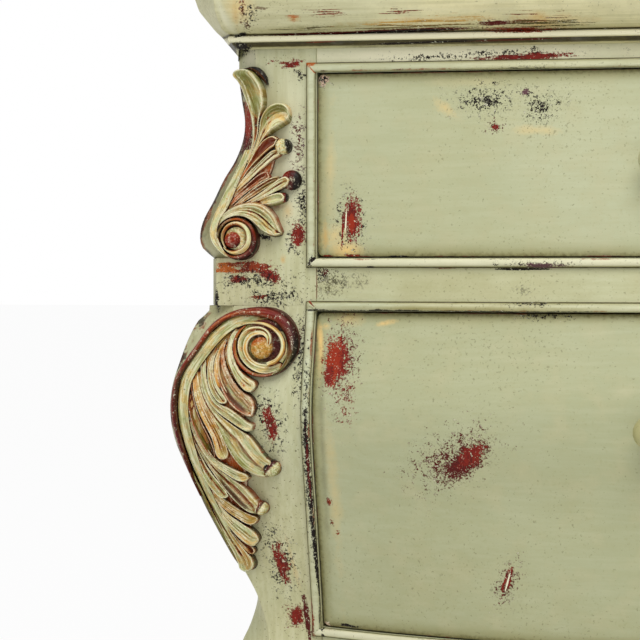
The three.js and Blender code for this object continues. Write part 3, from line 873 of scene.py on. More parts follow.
@dataclass(frozen=True)
class CarvedPaint:
    """The carving's finish: its own hue at each place, streaks along the lobes, and glazing with painted
    shade in the creases.
    """

    name: str

    def material(self) -> Material:
        """Returns the finished material."""
        recipe = Recipe(self.name)
        hued = recipe.node("ShaderNodeAttribute", {"attribute_name": "hue"})
        flow = recipe.node("ShaderNodeAttribute", {"attribute_name": "flow"}).outputs["Vector"]
        crest, grime = recipe.mark("crest"), recipe.mark("grime")
        streak = recipe.noise(1.0, 4.0, 0.6, self.along(recipe, flow, (0.55, 0.05, 1.0)))
        thread = recipe.noise(1.0, 3.0, 0.6, self.along(recipe, flow, (1.5, 0.09, 1.0)))
        patchy = recipe.noise(1.0, 3.0, 0.6, self.along(recipe, flow, (0.16, 0.07, 1.0)))
        mottle = recipe.noise(150.0, 4.0, 0.65)
        fine = recipe.noise(560.0, 3.0, 0.65)
        light = (Signal(recipe, hued.outputs["Fac"]) * 2.4).clamped()
        crease = grime + (mottle - 0.5) * 1.2 + (streak - 0.5) * 0.7
        colour = recipe.layered(hued.outputs["Color"], (
            (Tone.HONEY, patchy.over(0.53, 0.14) * 0.75),
            (Tone.MOSS, (1 - patchy).over(0.52, 0.2) * 0.7),
            (Tone.SHADE, (1 - streak).over(0.55, 0.12) * 0.6),
        ), "MULTIPLY")
        colour = recipe.blend(colour, Tone.CREAM, streak.over(0.58, 0.1) * light * 0.5)
        colour = recipe.layered(colour, (
            (Tone.RUST, (thread + grime * 0.35).over(0.7, 0.08) * 0.8),
            (Tone.UMBER, (1 - thread + grime * 0.3).over(0.73, 0.07) * 0.8),
        ), "DARKEN")
        chipped = (crest * 1.3 - 0.65 + (mottle - 0.5) * 2.4).clamped()
        colour = recipe.blend(colour, Tone.CREAM, chipped * 0.75)
        # The crease layers lay glazing in the hollows and, darkest in the deepest creases, painted shade.
        colour = recipe.layered(colour, (
            (Tone.OCHRE, crease.over(0.24, 0.14) * 0.5),
            (Tone.ORANGE, crease.over(0.35, 0.12) * 0.7),
            (Tone.RUST, crease.over(0.43, 0.12) * 0.8),
            (Tone.UMBER, crease.over(0.51, 0.12) * 0.85),
            (Tone.BLACK, (crease + (fine - 0.5) * 0.5).over(0.62, 0.12) * 0.95),
        ), "DARKEN")
        colour = recipe.layered(colour, (
            (Tone.CREAM, (fine * 0.6 + mottle * 0.4 + crest * 0.08).over(0.625, 0.05) * 0.7),
            (Tone.BLACK, (1 - fine * 0.6 - mottle * 0.4).over(0.625, 0.05) * 0.75),
        ))
        return recipe.surface(colour, mottle * 0.3 + 0.3, mottle * 0.5 + fine * 0.3 + streak * 0.2, 0.0006)

    @staticmethod
    def along(recipe: Recipe, flow: object, scale: tuple[float, float, float]) -> Socket:
        """Returns the coordinates along and across the carving's strands, scaled."""
        made = recipe.node("ShaderNodeVectorMath", {"operation": "MULTIPLY"}, {0: flow, 1: scale})
        return made.outputs["Vector"]


@dataclass(frozen=True)
class BareWood:
    """Planed wood with its grain along one axis."""

    name: str
    along: tuple[float, float, float] = (1.6, 24.0, 24.0)
    pale: Tone = Tone.OAK_PALE
    dark: Tone = Tone.OAK_DARK

    def material(self) -> Material:
        """Returns the finished material."""
        recipe = Recipe(self.name)
        place = recipe.stretched(self.along)
        figure = recipe.noise(1.0, 3.0, 0.5, place, 0.6)
        rings = recipe.maths("SINE", figure * 46.0, 0.0) * 0.5 + 0.5
        pores = recipe.noise(9.0, 4.0, 0.6, place)
        stops = [(0.0, self.dark), (0.45, Tone.OAK), (1.0, self.pale)]
        ramp = recipe.node("ShaderNodeValToRGB", {"stops": stops}, {0: rings * 0.45 + figure * 0.45})
        colour = recipe.blend(ramp.outputs["Color"], self.dark, pores.over(0.6, 0.14) * 0.5)
        colour = recipe.blend(colour, Tone.OAK_DARK, recipe.noise(7.0, 3.0).over(0.6, 0.25) * 0.3)
        return recipe.surface(colour, pores * 0.2 + 0.55, pores * 0.7 + rings * 0.3, 0.0003)


@dataclass(frozen=True)
class StudioWhite:
    """The floor: it shows as white and keeps the object's shadow."""

    name: str
    glow: float = 0.95

    def material(self) -> Material:
        """Returns the finished material."""
        recipe = Recipe(self.name)
        matt = recipe.node("ShaderNodeBsdfDiffuse", {}, {"Color": Tone.FLOOR})
        white = recipe.node("ShaderNodeEmission", {}, {"Strength": 1.0})
        path = recipe.node("ShaderNodeLightPath").outputs
        looked = Signal(recipe, path["Is Camera Ray"]) + Signal(recipe, path["Is Glossy Ray"])
        share = (looked + Signal(recipe, path["Is Transmission Ray"])).clamped() * self.glow
        both = recipe.node("ShaderNodeMixShader", {}, {0: share, 1: matt.outputs[0], 2: white.outputs[0]})
        recipe.node("ShaderNodeOutputMaterial", {}, {"Surface": both.outputs[0]})
        return recipe.material


class SubAssembly:
    """What the chest's sub-assemblies share: fitting a shape into the frame."""

    def fit(self, shape: Shape, node: str, material: Material, slot: Slot = Slot.PAINT,
            body: Body = Body.CARCASE, sharp: float = 32.0) -> None:
        """Turns a shape into a finished piece in the frame.

        Args:
            shape: The mesh in the making.
            node: The CAD node that it stands for. The piece's name is the node's with the slot's ending.
            material: Its finish.
            slot: The kind of finish, which gives the piece's name its ending.
            body: The body that it rides on.
            sharp: The angle in degrees above which an edge stays crisp.
        """
        name = f"{node}_{ENDINGS[slot]}"
        plane = self.chest.face_plane()
        bmesh.ops.recalc_face_normals(shape.mesh, faces=shape.mesh.faces)
        bmesh.ops.transform(shape.mesh, matrix=Matrix.Translation((0, plane, 0)) @ Matrix.Scale(MM, 4),
                            verts=shape.mesh.verts)
        data = bpy.data.meshes.new(name)
        shape.mesh.to_mesh(data)
        shape.mesh.free()
        data.shade_smooth()
        data.set_sharp_from_angle(angle=math.radians(sharp))
        data.materials.append(material)
        piece = bpy.data.objects.new(name, data)
        bpy.context.scene.collection.objects.link(piece)
        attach(piece, body.value)
        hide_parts(node)
        log.info("%s: %d faces, rides on %s, stands for %s", name, len(data.polygons), body.value, node)

    def fit_pair(self, shape: Shape, kind: str, material: Material, slot: Slot = Slot.PAINT,
                 sharp: float = 32.0) -> None:
        """Turns the left one of a pair of the carcase's shapes into both finished pieces.

        Args:
            shape: The left mesh in the making.
            kind: The nodes' name without its side.
            material: Their finish.
            slot: The kind of finish, which gives the pieces' names their ending.
            sharp: The angle in degrees above which an edge stays crisp.
        """
        for side, made in (("right", shape.mirrored()), ("left", shape)):
            self.fit(made, f"{side}_{kind}", material, slot, sharp=sharp)


@dataclass
class Posts(SubAssembly):
    """The four posts, which swell with the belly, and the bent side panels between them.

    edge_wear gives how worn the front post's outer edge is at heights; the table after it gives the painted
    shade on its canted corner and flank.
    """

    chest: Carcase
    paint: Material
    row_step: float = 5.0
    arris: float = 1.6
    inner_arris: float = 0.7
    block_ease: float = 1.4
    panel_inset: float = 8.0
    panel_thickness: float = 18.0
    panel_gap: float = 0.3
    panel_cells: int = 12
    block_cells: int = 4
    block_margin: float = 4.0
    block_gap: float = 0.3
    edge_wear: tuple[Point, ...] = ((0, 0.9), (150, 1), (250, 2), (470, 2.2), (500, 1.2), (530, 1.2),
                                    (545, 2.6), (700, 2.6), (740, 1))
    # Painted shade on the canted corner and flank, by height.
    cant_grime: tuple[Point, ...] = ((0, 0.1), (460, 0.1), (490, 0.35), (540, 0.3), (560, 0.62), (660, 0.62),
                                     (705, 0.1), (720, 0))

    def rows(self) -> list[tuple[float, tuple[float, float, float], float]]:
        """Lists the heights of the post's sections.

        Returns:
            For each section its height, its outline, and how dark its edge is marked.
        """
        chest = self.chest
        low, high = chest.block
        block = (chest.stile + chest.post_reach * chest.block_corner_share,
                 chest.stile + chest.post_reach * chest.block_flank_share, chest.stile)
        drawn_in = tuple(side - self.block_ease for side in block[:2]) + (chest.stile,)
        rows = [(z, chest.outline(z, False), 0.0)
                for z in steps(0, low - self.block_gap, int(low / self.row_step))]
        rows += [(low, drawn_in, 1.0), (low + self.block_ease * 0.5, block, 0.4)]
        rows += [(z, block, 0.0)
                 for z in steps(low + self.block_margin, high - self.block_margin, self.block_cells)]
        rows += [(high - self.block_ease * 0.5, block, 0.4), (high, drawn_in, 1.0)]
        rows += [(z, chest.outline(z, True), 0.0)
                 for z in steps(high + self.block_gap, chest.top, int((chest.top - high) / self.row_step))]
        return rows

    def front_post(self) -> Shape:
        """Builds the left front post."""
        chest = self.chest
        rings, rubs, cant_shades = [], [], []
        edge_wear, cant_grime = Curve(self.edge_wear), Curve(self.cant_grime)
        radii = (0.0, self.inner_arris, self.arris * 2, self.arris, 0.0)
        for z, (corner, flank, inner), dark in self.rows():
            face = -chest.push(z)
            outline = [(-inner, chest.post_depth), (-inner, face), (-corner, face),
                       (-flank, face + chest.cant_depth), (-flank, chest.post_depth)]
            section = rounded(outline, radii)
            rings.append([Vector((place.x, place.y, z)) for place, _ in section])
            edge = edge_wear(z)
            # After the first place come four each of the inner arris, the front edge and the outer edge.
            rub = [0.0, *[0.35 * share for _, share in section[1:5]],
                   *[0.5 * share for _, share in section[5:9]],
                   *[max(share, 0.4) * edge for _, share in section[9:13]], 0.0]
            rubs.append([*rub[:5], *[max(mark, dark) for mark in rub[5:]]])
            # The outer seven points, round the canted corner and along the flank, take the painted shade.
            cant_shades.append([0.0] * 7 + [cant_grime(z)] * 7)
        shape = Shape()
        for row, rub, grime in zip(shape.loft(rings), rubs, cant_shades):
            shape.mark(row, {"rub": rub, "grime": grime})
        return shape

    def rear_post(self) -> Shape:
        """Builds the left rear post."""
        chest = self.chest
        rings = []
        for z, (_, flank, inner), _ in self.rows():
            outline = [(-inner, chest.depth), (-inner, chest.depth - chest.post_depth),
                       (-flank, chest.depth - chest.post_depth), (-flank, chest.depth)]
            section = rounded(outline, (0.8, 0.0, 0.8, self.arris))
            rings.append([Vector((place.x, place.y, z)) for place, _ in section])
        shape = Shape()
        shape.loft(rings, {"rub": [share * 0.8 for _, share in section]})
        return shape

    def side_panel(self) -> Shape:
        """Builds the left side panel: a board bent to the posts' outline."""
        chest = self.chest
        heights = [z for z, _, _ in self.rows() if z > chest.rail_bottom]
        outer = [(chest.outline(z)[1] - self.panel_inset, z) for z in [chest.rail_bottom, *heights]]
        section = [*outer, *[(x - self.panel_thickness, z) for x, z in reversed(outer)]]
        inset = chest.post_depth + self.panel_gap
        ends = steps(inset, chest.depth - chest.post_depth - self.panel_gap, self.panel_cells)
        shape = Shape()
        rows = shape.loft([[Vector((-x, y, z)) for x, z in section] for y in ends])
        for place, grime in ((0, 0.8), (1, 0.2), (-2, 0.2), (-1, 0.8)):
            shape.mark(rows[place], {"grime": grime})
        return shape

    def build(self) -> None:
        """Builds the posts and panels of both sides."""
        for kind, shape in (("front_post", self.front_post()), ("rear_post", self.rear_post()),
                            ("side_panel", self.side_panel())):
            self.fit_pair(shape, kind, self.paint)


@dataclass
class Rails(SubAssembly):
    """The three rails between the front posts, bowed like the drawers."""

    chest: Carcase
    paint: Material
    across: int = 64
    up: int = 6
    ease: float = 0.9
    margin: float = 4.0
    bend_gap: float = 0.1
    gap: float = 0.3
    depths: tuple[float, float, float] = (60.0, 50.0, 22.0)

    def rail(self, low: Callable[[float], float], high: Callable[[float], float], depth: float) -> Shape:
        """Builds a rail between two edges, with its ends eased where they meet the posts."""
        chest = self.chest
        end = chest.stile - self.gap
        middle = steps(-end + self.margin, end - self.margin, self.across)
        places = [-end, -end + self.ease, *middle, end - self.ease, end]
        rings = []
        for i, x in enumerate(places):
            back = self.ease if i in (0, len(places) - 1) else 0.0
            heights = steps(low(x), high(x), self.up)
            # The top rail stands upright behind the cornice, so its face bends at the cornice's foot.
            if high(x) == chest.top:
                below = steps(low(x), chest.cornice_bottom, self.up - 1)
                heights = [*below, chest.cornice_bottom + self.bend_gap, high(x)]
            rings.append([Vector((x, -chest.front(x, z) + back, z)) for z in heights]
                         + [Vector((x, depth, high(x))), Vector((x, depth, low(x)))])
        shape = Shape()
        rows = shape.loft(rings)
        for row in (rows[0], rows[-1]):
            shape.mark(row, {"rub": 0.5, "grime": 0.6})
        return shape

    def build(self) -> None:
        """Builds the rails."""
        chest = self.chest
        spans = {
            "bottom_rail": (chest.apron_edge, chest.lower_edge),
            "middle_rail": (lambda x: chest.lower_ceiling, lambda x: chest.upper_floor),
            "top_rail": (lambda x: chest.upper_ceiling, lambda x: chest.top),
        }
        for (name, (low, high)), depth in zip(spans.items(), self.depths):
            self.fit(self.rail(low, high, depth), name, self.paint)


@dataclass
class Beads(SubAssembly):
    """The mitred mouldings round both openings.

    profile gives for each point its distance from the opening and its rise as shares, its rub, and its
    darkening, which is partly dirt and partly painted shade at the bead's feet.
    """

    chest: Carcase
    paint: Material
    width: float = 10.0
    rise: float = 4.5
    foot: float = 1.5
    seat: float = 0.4
    inner_gap: float = 0.3
    mitre_gap: float = 0.1
    across: int = 72
    row_step: float = 6.0
    # The last column darkens the bead's feet and edges: partly dirt, partly painted shade in the creases.
    profile: tuple[tuple[float, float, float, float], ...] = (
        (0.0, 0.0, 0.0, 1.0), (0.0, 0.3, 0.0, 0.9), (0.03, 0.52, 0.5, 0.5), (0.1, 0.74, 0.7, 0.15),
        (0.2, 0.91, 0.4, 0.0), (0.33, 0.99, 0.0, 0.0), (0.47, 1.0, 0.0, 0.0), (0.6, 0.93, 0.0, 0.0),
        (0.72, 0.78, 0.0, 0.1), (0.82, 0.55, 0.0, 0.35), (0.88, 0.3, 0.1, 0.8), (0.9, 0.04, 0.0, 1.0),
        (1.0, 0.0, 0.0, 0.95),
    )
    crest_points: range = range(3, 9)

    def section(self) -> list[tuple[float, float]]:
        """Returns the profile as distances from the opening and rises from the front."""
        return [(self.inner_gap + away * (self.width - self.inner_gap),
                 self.seat + rise * self.rise + (self.foot if rise > 0 else 0.0))
                for away, rise, _, _ in self.profile]

    def marks(self) -> dict[str, list[float]]:
        """Returns the painter's marks of the profile's points."""
        return {"rub": [row[2] for row in self.profile], "grime": [row[3] for row in self.profile]}

    def upright(self, low: float, high: float) -> Shape:
        """Builds the left bead of an opening."""
        chest = self.chest
        heights = steps(low, high, int((high - low) / self.row_step))
        rings = []
        for i, height in enumerate(heights):
            way = {0: -1, len(heights) - 1: 1}.get(i, 0)
            face = chest.push(height)
            ring = [(-chest.stile - away, -(face + rise), height + way * (away - self.mitre_gap))
                    for away, rise in self.section()]
            rings.append([Vector(place) for place in ring])
        shape = Shape()
        shape.loft(rings, self.marks())
        return shape

    def level(self, edge: Callable[[float], float], way: int, crest: float = 0.0) -> Shape:
        """Builds a bead along the floor or ceiling of an opening, with a painted highlight in cream on its
        crest.
        """
        chest = self.chest
        rings = []
        for share in steps(-1, 1, self.across):
            ring = []
            for away, rise in self.section():
                x = share * (chest.stile + away - self.mitre_gap)
                z = edge(x) + way * away
                ring.append(Vector((x, -(chest.front(x, z) + rise), z)))
            rings.append(ring)
        crests = [crest if i in self.crest_points else 0.0 for i in range(len(self.profile))]
        shape = Shape()
        shape.loft(rings, {**self.marks(), "crest": crests})
        return shape

    def build(self) -> None:
        """Builds the eight beads."""
        chest = self.chest
        openings = (("lower", chest.lower_floor, chest.lower_ceiling, chest.lower_edge),
                    ("upper", chest.upper_floor, chest.upper_ceiling, lambda x: chest.upper_floor))
        for level, low, high, floor in openings:
            self.fit_pair(self.upright(low, high), f"{level}_bead", self.paint)
            # The floor beads face up, so their crests carry the painted highlight.
            self.fit(self.level(floor, -1, 0.8), f"{level}_bead_below", self.paint)
            self.fit(self.level(lambda x, high=high: high, 1), f"{level}_bead_above", self.paint)


@dataclass
class Cornice(SubAssembly):
    """The moulded cornice, mitred round canted corners, and the top board on it.

    cove, bead and ogee make the front's profile, as shares of its reach and height. The sides have one of
    their own, as the photograph's silhouette shows. drift is how far out the front's mitres lie at a reach.
    """

    chest: Carcase
    paint: Material
    reach: float = 46.0
    top_reach: float = 58.0
    gap: float = 0.3
    mitre_gap: float = 0.1
    drift: tuple[Point, ...] = ((0, 16), (10, 20.5), (15, 24), (21, 27.5), (29, 29.5), (37, 31.5), (60, 33))
    side_cove: tuple[Point, ...] = ((-0.05, -0.03), (0, 0.02), (0.07, 0.07), (0.13, 0.11), (0.17, 0.14),
                                    (0.19, 0.152))
    side_bead: tuple[Point, ...] = ((0.205, 0.16), (0.225, 0.175), (0.25, 0.193), (0.275, 0.21),
                                    (0.295, 0.225), (0.31, 0.238))
    side_ogee: tuple[Point, ...] = ((0.33, 0.25), (0.395, 0.285), (0.47, 0.326), (0.56, 0.388),
                                    (0.644, 0.447), (0.74, 0.515), (0.805, 0.567), (0.85, 0.63),
                                    (0.885, 0.69), (0.93, 0.75), (0.97, 0.81), (0.995, 0.87), (0.985, 0.93),
                                    (0.96, 0.97), (0.95, 1))
    cove: tuple[Point, ...] = ((0.03, 0.085), (0.05, 0.092), (0.1, 0.106), (0.17, 0.122), (0.215, 0.14),
                               (0.22, 0.156))
    bead: tuple[Point, ...] = ((0.26, 0.158), (0.315, 0.168), (0.33, 0.196), (0.315, 0.224), (0.28, 0.238),
                               (0.24, 0.243))
    ogee: tuple[Point, ...] = ((0.27, 0.256), (0.37, 0.275), (0.47, 0.305), (0.59, 0.36), (0.69, 0.42),
                               (0.775, 0.48), (0.84, 0.54), (0.89, 0.6), (0.93, 0.66), (0.965, 0.73),
                               (0.99, 0.8), (1, 0.86), (0.985, 0.92), (0.96, 0.97), (0.95, 1))
    edge: tuple[Point, ...] = ((0.86, 0), (0.93, 0.03), (0.985, 0.14), (1, 0.4), (0.99, 0.66), (0.955, 0.88),
                               (0.87, 1))
    profile_cells: tuple[int, int, int] = (8, 12, 30)
    front_cells: int = 60
    corner_cells: int = 2
    side_cells: int = 16
    edge_cells: int = 14
    edge_rubbed: range = range(6, 10)

    def section(self, *runs: Sequence[Point]) -> tuple[list[Point], dict[str, list[float]]]:
        """Works out a section of the cornice from the cove up.

        Args:
            runs: The points of its cove, its bead and its ogee.

        Returns:
            Reach and height of each of its points, and the painter's marks of each.
        """
        points: list[Point] = []
        crest: list[float] = []
        grime: list[float] = []
        base, height = self.chest.cornice_bottom, self.chest.cornice_height
        for number, (run, count) in enumerate(zip(runs, self.profile_cells)):
            for i, place in enumerate(spline(run, count)):
                points.append((place.x * self.reach, base + place.y * height))
                share = i / count
                # The bead's crest carries a painted highlight.
                crest.append(1.2 if number == 1 and 2 < i < count - 1 else 0.0)
                # The cove is darkened up to the bead as the bead's painted shadow, the bead's two edges as
                # painted shade in their creases, and the ogee's foot as painted shade under its curve.
                painted_shade = (0.3 + 0.75 * eased(share, 0.2, 0.55), 0.9 if i in (0, count) else 0.0,
                        1.0 if i == 0 else max(0.0, 0.55 * (1 - share / 0.25)))
                grime.append(painted_shade[number])
        return points, {"crest": crest, "grime": grime}

    def plan(self) -> list[Vector]:
        """Returns the corners of the carcase's plan at its head, from the left rear to the right rear."""
        corner, flank, _ = self.chest.outline(self.chest.top)
        half = [(-flank, self.chest.depth), (-flank, self.chest.cant_depth), (-corner, 0.0)]
        return [Vector(place) for place in [*half, *[(-x, y) for x, y in reversed(half)]]]

    def moved(self, index: int, reach: float) -> Vector:
        """Returns a corner of the plan moved out square to the sides that meet there."""
        plan = self.plan()
        normals = []
        for i in (index - 1, index):
            if 0 <= i < len(plan) - 1:
                run = plan[i + 1] - plan[i]
                normals.append(Vector((run.y, -run.x)).normalized())
        one, other = normals[0], normals[-1]
        place = plan[index] + (one + other) * (reach / (1 + one.dot(other)))
        if index in (2, 3):
            place.x = math.copysign(abs(plan[index].x) + Curve(self.drift)(reach), place.x)
        return place

    def run(self, start: int, finish: int, count: int) -> Shape:
        """Builds a straight run of the cornice between two corners of the plan."""
        chest = self.chest
        front = self.section(self.cove, self.bead, self.ogee)
        side = self.section(self.side_cove, self.side_bead, self.side_ogee)
        marks = (front if start == 2 else side)[1]
        ends = []
        for index in (start, finish):
            points = (front if index in (2, 3) else side)[0]
            ends.append([Vector((*self.moved(index, max(reach, self.gap)), z))
                         for reach, z in [(self.gap, chest.top), (self.gap, points[0][1]), *points]])
        rings = []
        for share in steps(0, 1, count):
            ring = []
            for one, other in zip(*ends):
                cut = self.mitre_gap / (other - one).length
                ring.append(one.lerp(other, stretch(cut, 1 - cut, share)))
            rings.append(ring)
        shape = Shape()
        shape.loft(rings, {name: [0.0, 0.0, *values] for name, values in marks.items()})
        return shape

    def board(self) -> Shape:
        """Builds the top board with its rounded edge."""
        chest = self.chest
        rings = []
        for place in spline(self.edge, self.edge_cells):
            ring = [self.moved(i, place.x * self.top_reach) for i in range(6)]
            z = chest.top + place.y * chest.top_thickness
            rings.append([Vector((spot.x, spot.y, z)) for spot in ring])
        shape = Shape()
        rows = shape.loft(rings)
        for i in self.edge_rubbed:
            shape.mark(rows[i], {"rub": 0.55})
        return shape

    def build(self) -> None:
        """Builds the cornice's five runs and the top board."""
        self.fit(self.run(2, 3, self.front_cells), "cornice_front", self.paint)
        self.fit_pair(self.run(1, 2, self.corner_cells), "cornice_corner", self.paint)
        self.fit_pair(self.run(0, 1, self.side_cells), "cornice_side", self.paint)
        self.fit(self.board(), "top_board", self.paint)


@dataclass
class Drawer(SubAssembly):
    """A drawer's swelling front with rounded corners, and its two knobs."""

    chest: Carcase
    body: Body
    paint: Material
    knob_paint: Material
    floor: Callable[[float], float]
    ceiling: float
    knob_share: float
    clearance: float = 1.5
    recess: float = 3.0
    thickness: float = 22.0
    corner: float = 6.0
    corner_cells: int = 6
    cells: tuple[int, int] = (160, 60)
    arris: float = 2.2
    knob_place: float = 165.0
    knob_radius: float = 16.0
    knob_reach: float = 32.0
    knob_neck: float = 7.0
    knob_gap: float = 0.5
    knob_steps: int = 40
    rub_width: float = 1.5
    grime_width: float = 16.0

    def face(self, x: float, z: float) -> float:
        """Returns the y of the drawer's face."""
        return -(self.chest.front(x, z) - self.recess)

    def lines(self, length: float, middle: int) -> list[float]:
        """Returns the places of the front's grid lines along one side, close together at its ends."""
        end = steps(0, self.corner, self.corner_cells)
        between = steps(self.corner, length - self.corner, middle)[1:-1]
        return [*end, *between, *[length - place for place in reversed(end)]]

    def front(self) -> Shape:
        """Builds the drawer's front from a grid that is bent to the chest's swelling."""
        end = self.chest.stile - self.clearance
        top = self.ceiling - self.clearance
        columns = self.lines(2 * end, self.cells[0])
        height = top - self.floor(end) - self.clearance
        rows = self.lines(height, self.cells[1])
        shape = Shape()
        counts = (len(columns) - 1, len(rows) - 1)
        grid = bmesh.ops.create_grid(shape.mesh, x_segments=counts[0], y_segments=counts[1], size=0.5)
        for vert in grid["verts"]:
            i, j = (round((place + 0.5) * count) for place, count in zip(vert.co.xy, counts))
            near = [min(columns[i], 2 * end - columns[i]), min(rows[j], height - rows[j])]
            over = [max(0.0, self.corner - place) for place in near]
            pull = max(over) / math.hypot(*over) if min(over) > 0 else 1.0
            out = [self.corner - part * pull if part > 0 else place for part, place in zip(over, near)]
            x = (out[0] if columns[i] < end else 2 * end - out[0]) - end
            share = (out[1] if rows[j] < height / 2 else height - out[1]) / height
            z = stretch(self.floor(x) + self.clearance, top, share)
            vert.co = (x, self.face(x, z), z)
            rim = min(out)
            vert[shape.marks["rub"]] = max(0.0, 1 - rim / self.rub_width) * 0.7
            # Darkening towards the border: partly dirt, partly painted shade in the recess behind the beads.
            vert[shape.marks["grime"]] = 0.85 * max(0.0, 1 - rim / self.grime_width) ** 1.5
        rim_edges = [edge for edge in shape.mesh.edges if edge.is_boundary]
        made = bmesh.ops.extrude_face_region(shape.mesh, geom=list(shape.mesh.faces))["geom"]
        for vert in (item for item in made if isinstance(item, Vert)):
            vert.co.y += self.thickness
        bmesh.ops.bevel(shape.mesh, geom=[edge for edge in rim_edges if edge.is_valid], offset=self.arris,
                        offset_type="OFFSET", affect="EDGES", segments=3, profile=0.5, material=-1,
                        clamp_overlap=True)
        return shape

    def knob(self, side: Side) -> Shape:
        """Builds a turned knob, square to the swelling front."""
        z = stretch(self.floor(0), self.ceiling, self.knob_share)
        x = side.value * self.knob_place
        probe = self.knob_radius / 2
        slope_x = (self.face(x + probe, z) - self.face(x - probe, z)) / (2 * probe)
        slope_z = (self.face(x, z + probe) - self.face(x, z - probe)) / (2 * probe)
        outward = Vector((slope_x, -1, slope_z)).normalized()
        radius, reach, neck = self.knob_radius, self.knob_reach, self.knob_neck
        foot = [(0.62 * radius, 0), (0.62 * radius, 0.03 * reach), (0.55 * radius, 0.08 * reach),
                (neck, 0.13 * reach), (0.92 * neck, 0.22 * reach), (neck, 0.34 * reach),
                (0.7 * radius, 0.46 * reach)]
        head = [foot[-1], (0.9 * radius, 0.54 * reach), (radius, 0.68 * reach), (0.94 * radius, 0.8 * reach),
                (0.74 * radius, 0.92 * reach), (0.4 * radius, 0.985 * reach), (0, reach)]
        profile = [(0, 0), *[tuple(place) for place in (*spline(foot, 16), *spline(head, 20)[1:])]]
        shape = Shape()
        verts = [shape.mesh.verts.new((across, 0, along)) for across, along in profile]
        for vert in verts:
            vert[shape.marks["rub"]] = max(0.0, 1 - abs(vert.co.z - 0.68 * reach) / (0.1 * reach)) * 0.8
            vert[shape.marks["grime"]] = max(0.0, 1 - abs(vert.co.z - 0.24 * reach) / (0.2 * reach)) * 0.8
        edges = [shape.mesh.edges.new(pair) for pair in zip(verts, verts[1:])]
        bmesh.ops.spin(shape.mesh, geom=[*verts, *edges], cent=(0, 0, 0), axis=(0, 0, 1), angle=math.tau,
                       steps=self.knob_steps, use_merge=True)
        bmesh.ops.remove_doubles(shape.mesh, verts=shape.mesh.verts, dist=0.001)
        turn = Vector((0, 0, 1)).rotation_difference(outward).to_matrix().to_4x4()
        place = Matrix.Translation(Vector((x, self.face(x, z), z)) + outward * self.knob_gap)
        bmesh.ops.transform(shape.mesh, matrix=place @ turn, verts=shape.mesh.verts)
        return shape

    def build(self) -> None:
        """Builds the front and the two knobs."""
        name = self.body.value
        level = name.split("_")[0]
        self.fit(self.front(), f"{name}_front", self.paint, body=self.body)
        for side in Side:
            node = f"{level}_{side.name.lower()}_knob"
            self.fit(self.knob(side), node, self.knob_paint, Slot.KNOB, self.body)


@dataclass(frozen=True)
class Lobe:
    """A lobe of a carved leaf between two picked edges, from its root to its tip.

    hollow names the tones of its hollow from one edge to the other, walls those of its left and right side,
    and rim, root and tip the tones that it takes on there; the darker tones of hollow and walls carry painted
    shade as well as paint. ribs are the places of fine ridges across it. lift is its height over the post at
    its root, middle and tip, scoop the depth of its hollow, spread how far its sides lean out, furrow the
    glazing and painted shade beside its ribs, and clean how much of that darkening is taken off.
    """

    left: tuple[Point, ...]
    right: tuple[Point, ...]
    hollow: str
    rim: str
    root: str = "ochre"
    tip: str = ""
    ribs: tuple[float, ...] = ()
    lift: tuple[float, float, float] = (5.0, 10.0, 13.0)
    scoop: float = 4.0
    rim_width: float = 1.7
    walls: str = "maroon maroon"
    spread: tuple[float, float] = (0.8, 0.8)
    furrow: float = 0.3
    clean: float = 0.0


@dataclass(frozen=True)
class Strand:
    """A rounded or hollowed ribbon of carving along a picked line.

    half gives its half widths and lift its heights over the post along the line. tones names rows of tones
    from edge to edge, one row after another along the line, parted by commas. rise is how far its middle
    stands above its edges, crease the glazing and painted shade at its edges and chips the chipping of its
    middle.
    """

    line: tuple[Point, ...]
    half: tuple[float, ...]
    tones: str
    lift: tuple[float, ...]
    rise: float
    crease: float
    wall: str = "maroon"
    chips: float = 0.3
    clean: float = 0.0


@dataclass(frozen=True)
class Boss:
    """A ball, curl or eye: its middle, radius and lift, and its tones from one side to the other, which paint
    its lit and its shaded side with its colours.
    """

    at: Point
    radius: float
    tones: str
    lift: float
    turn: float
    flat: float
    clean: float


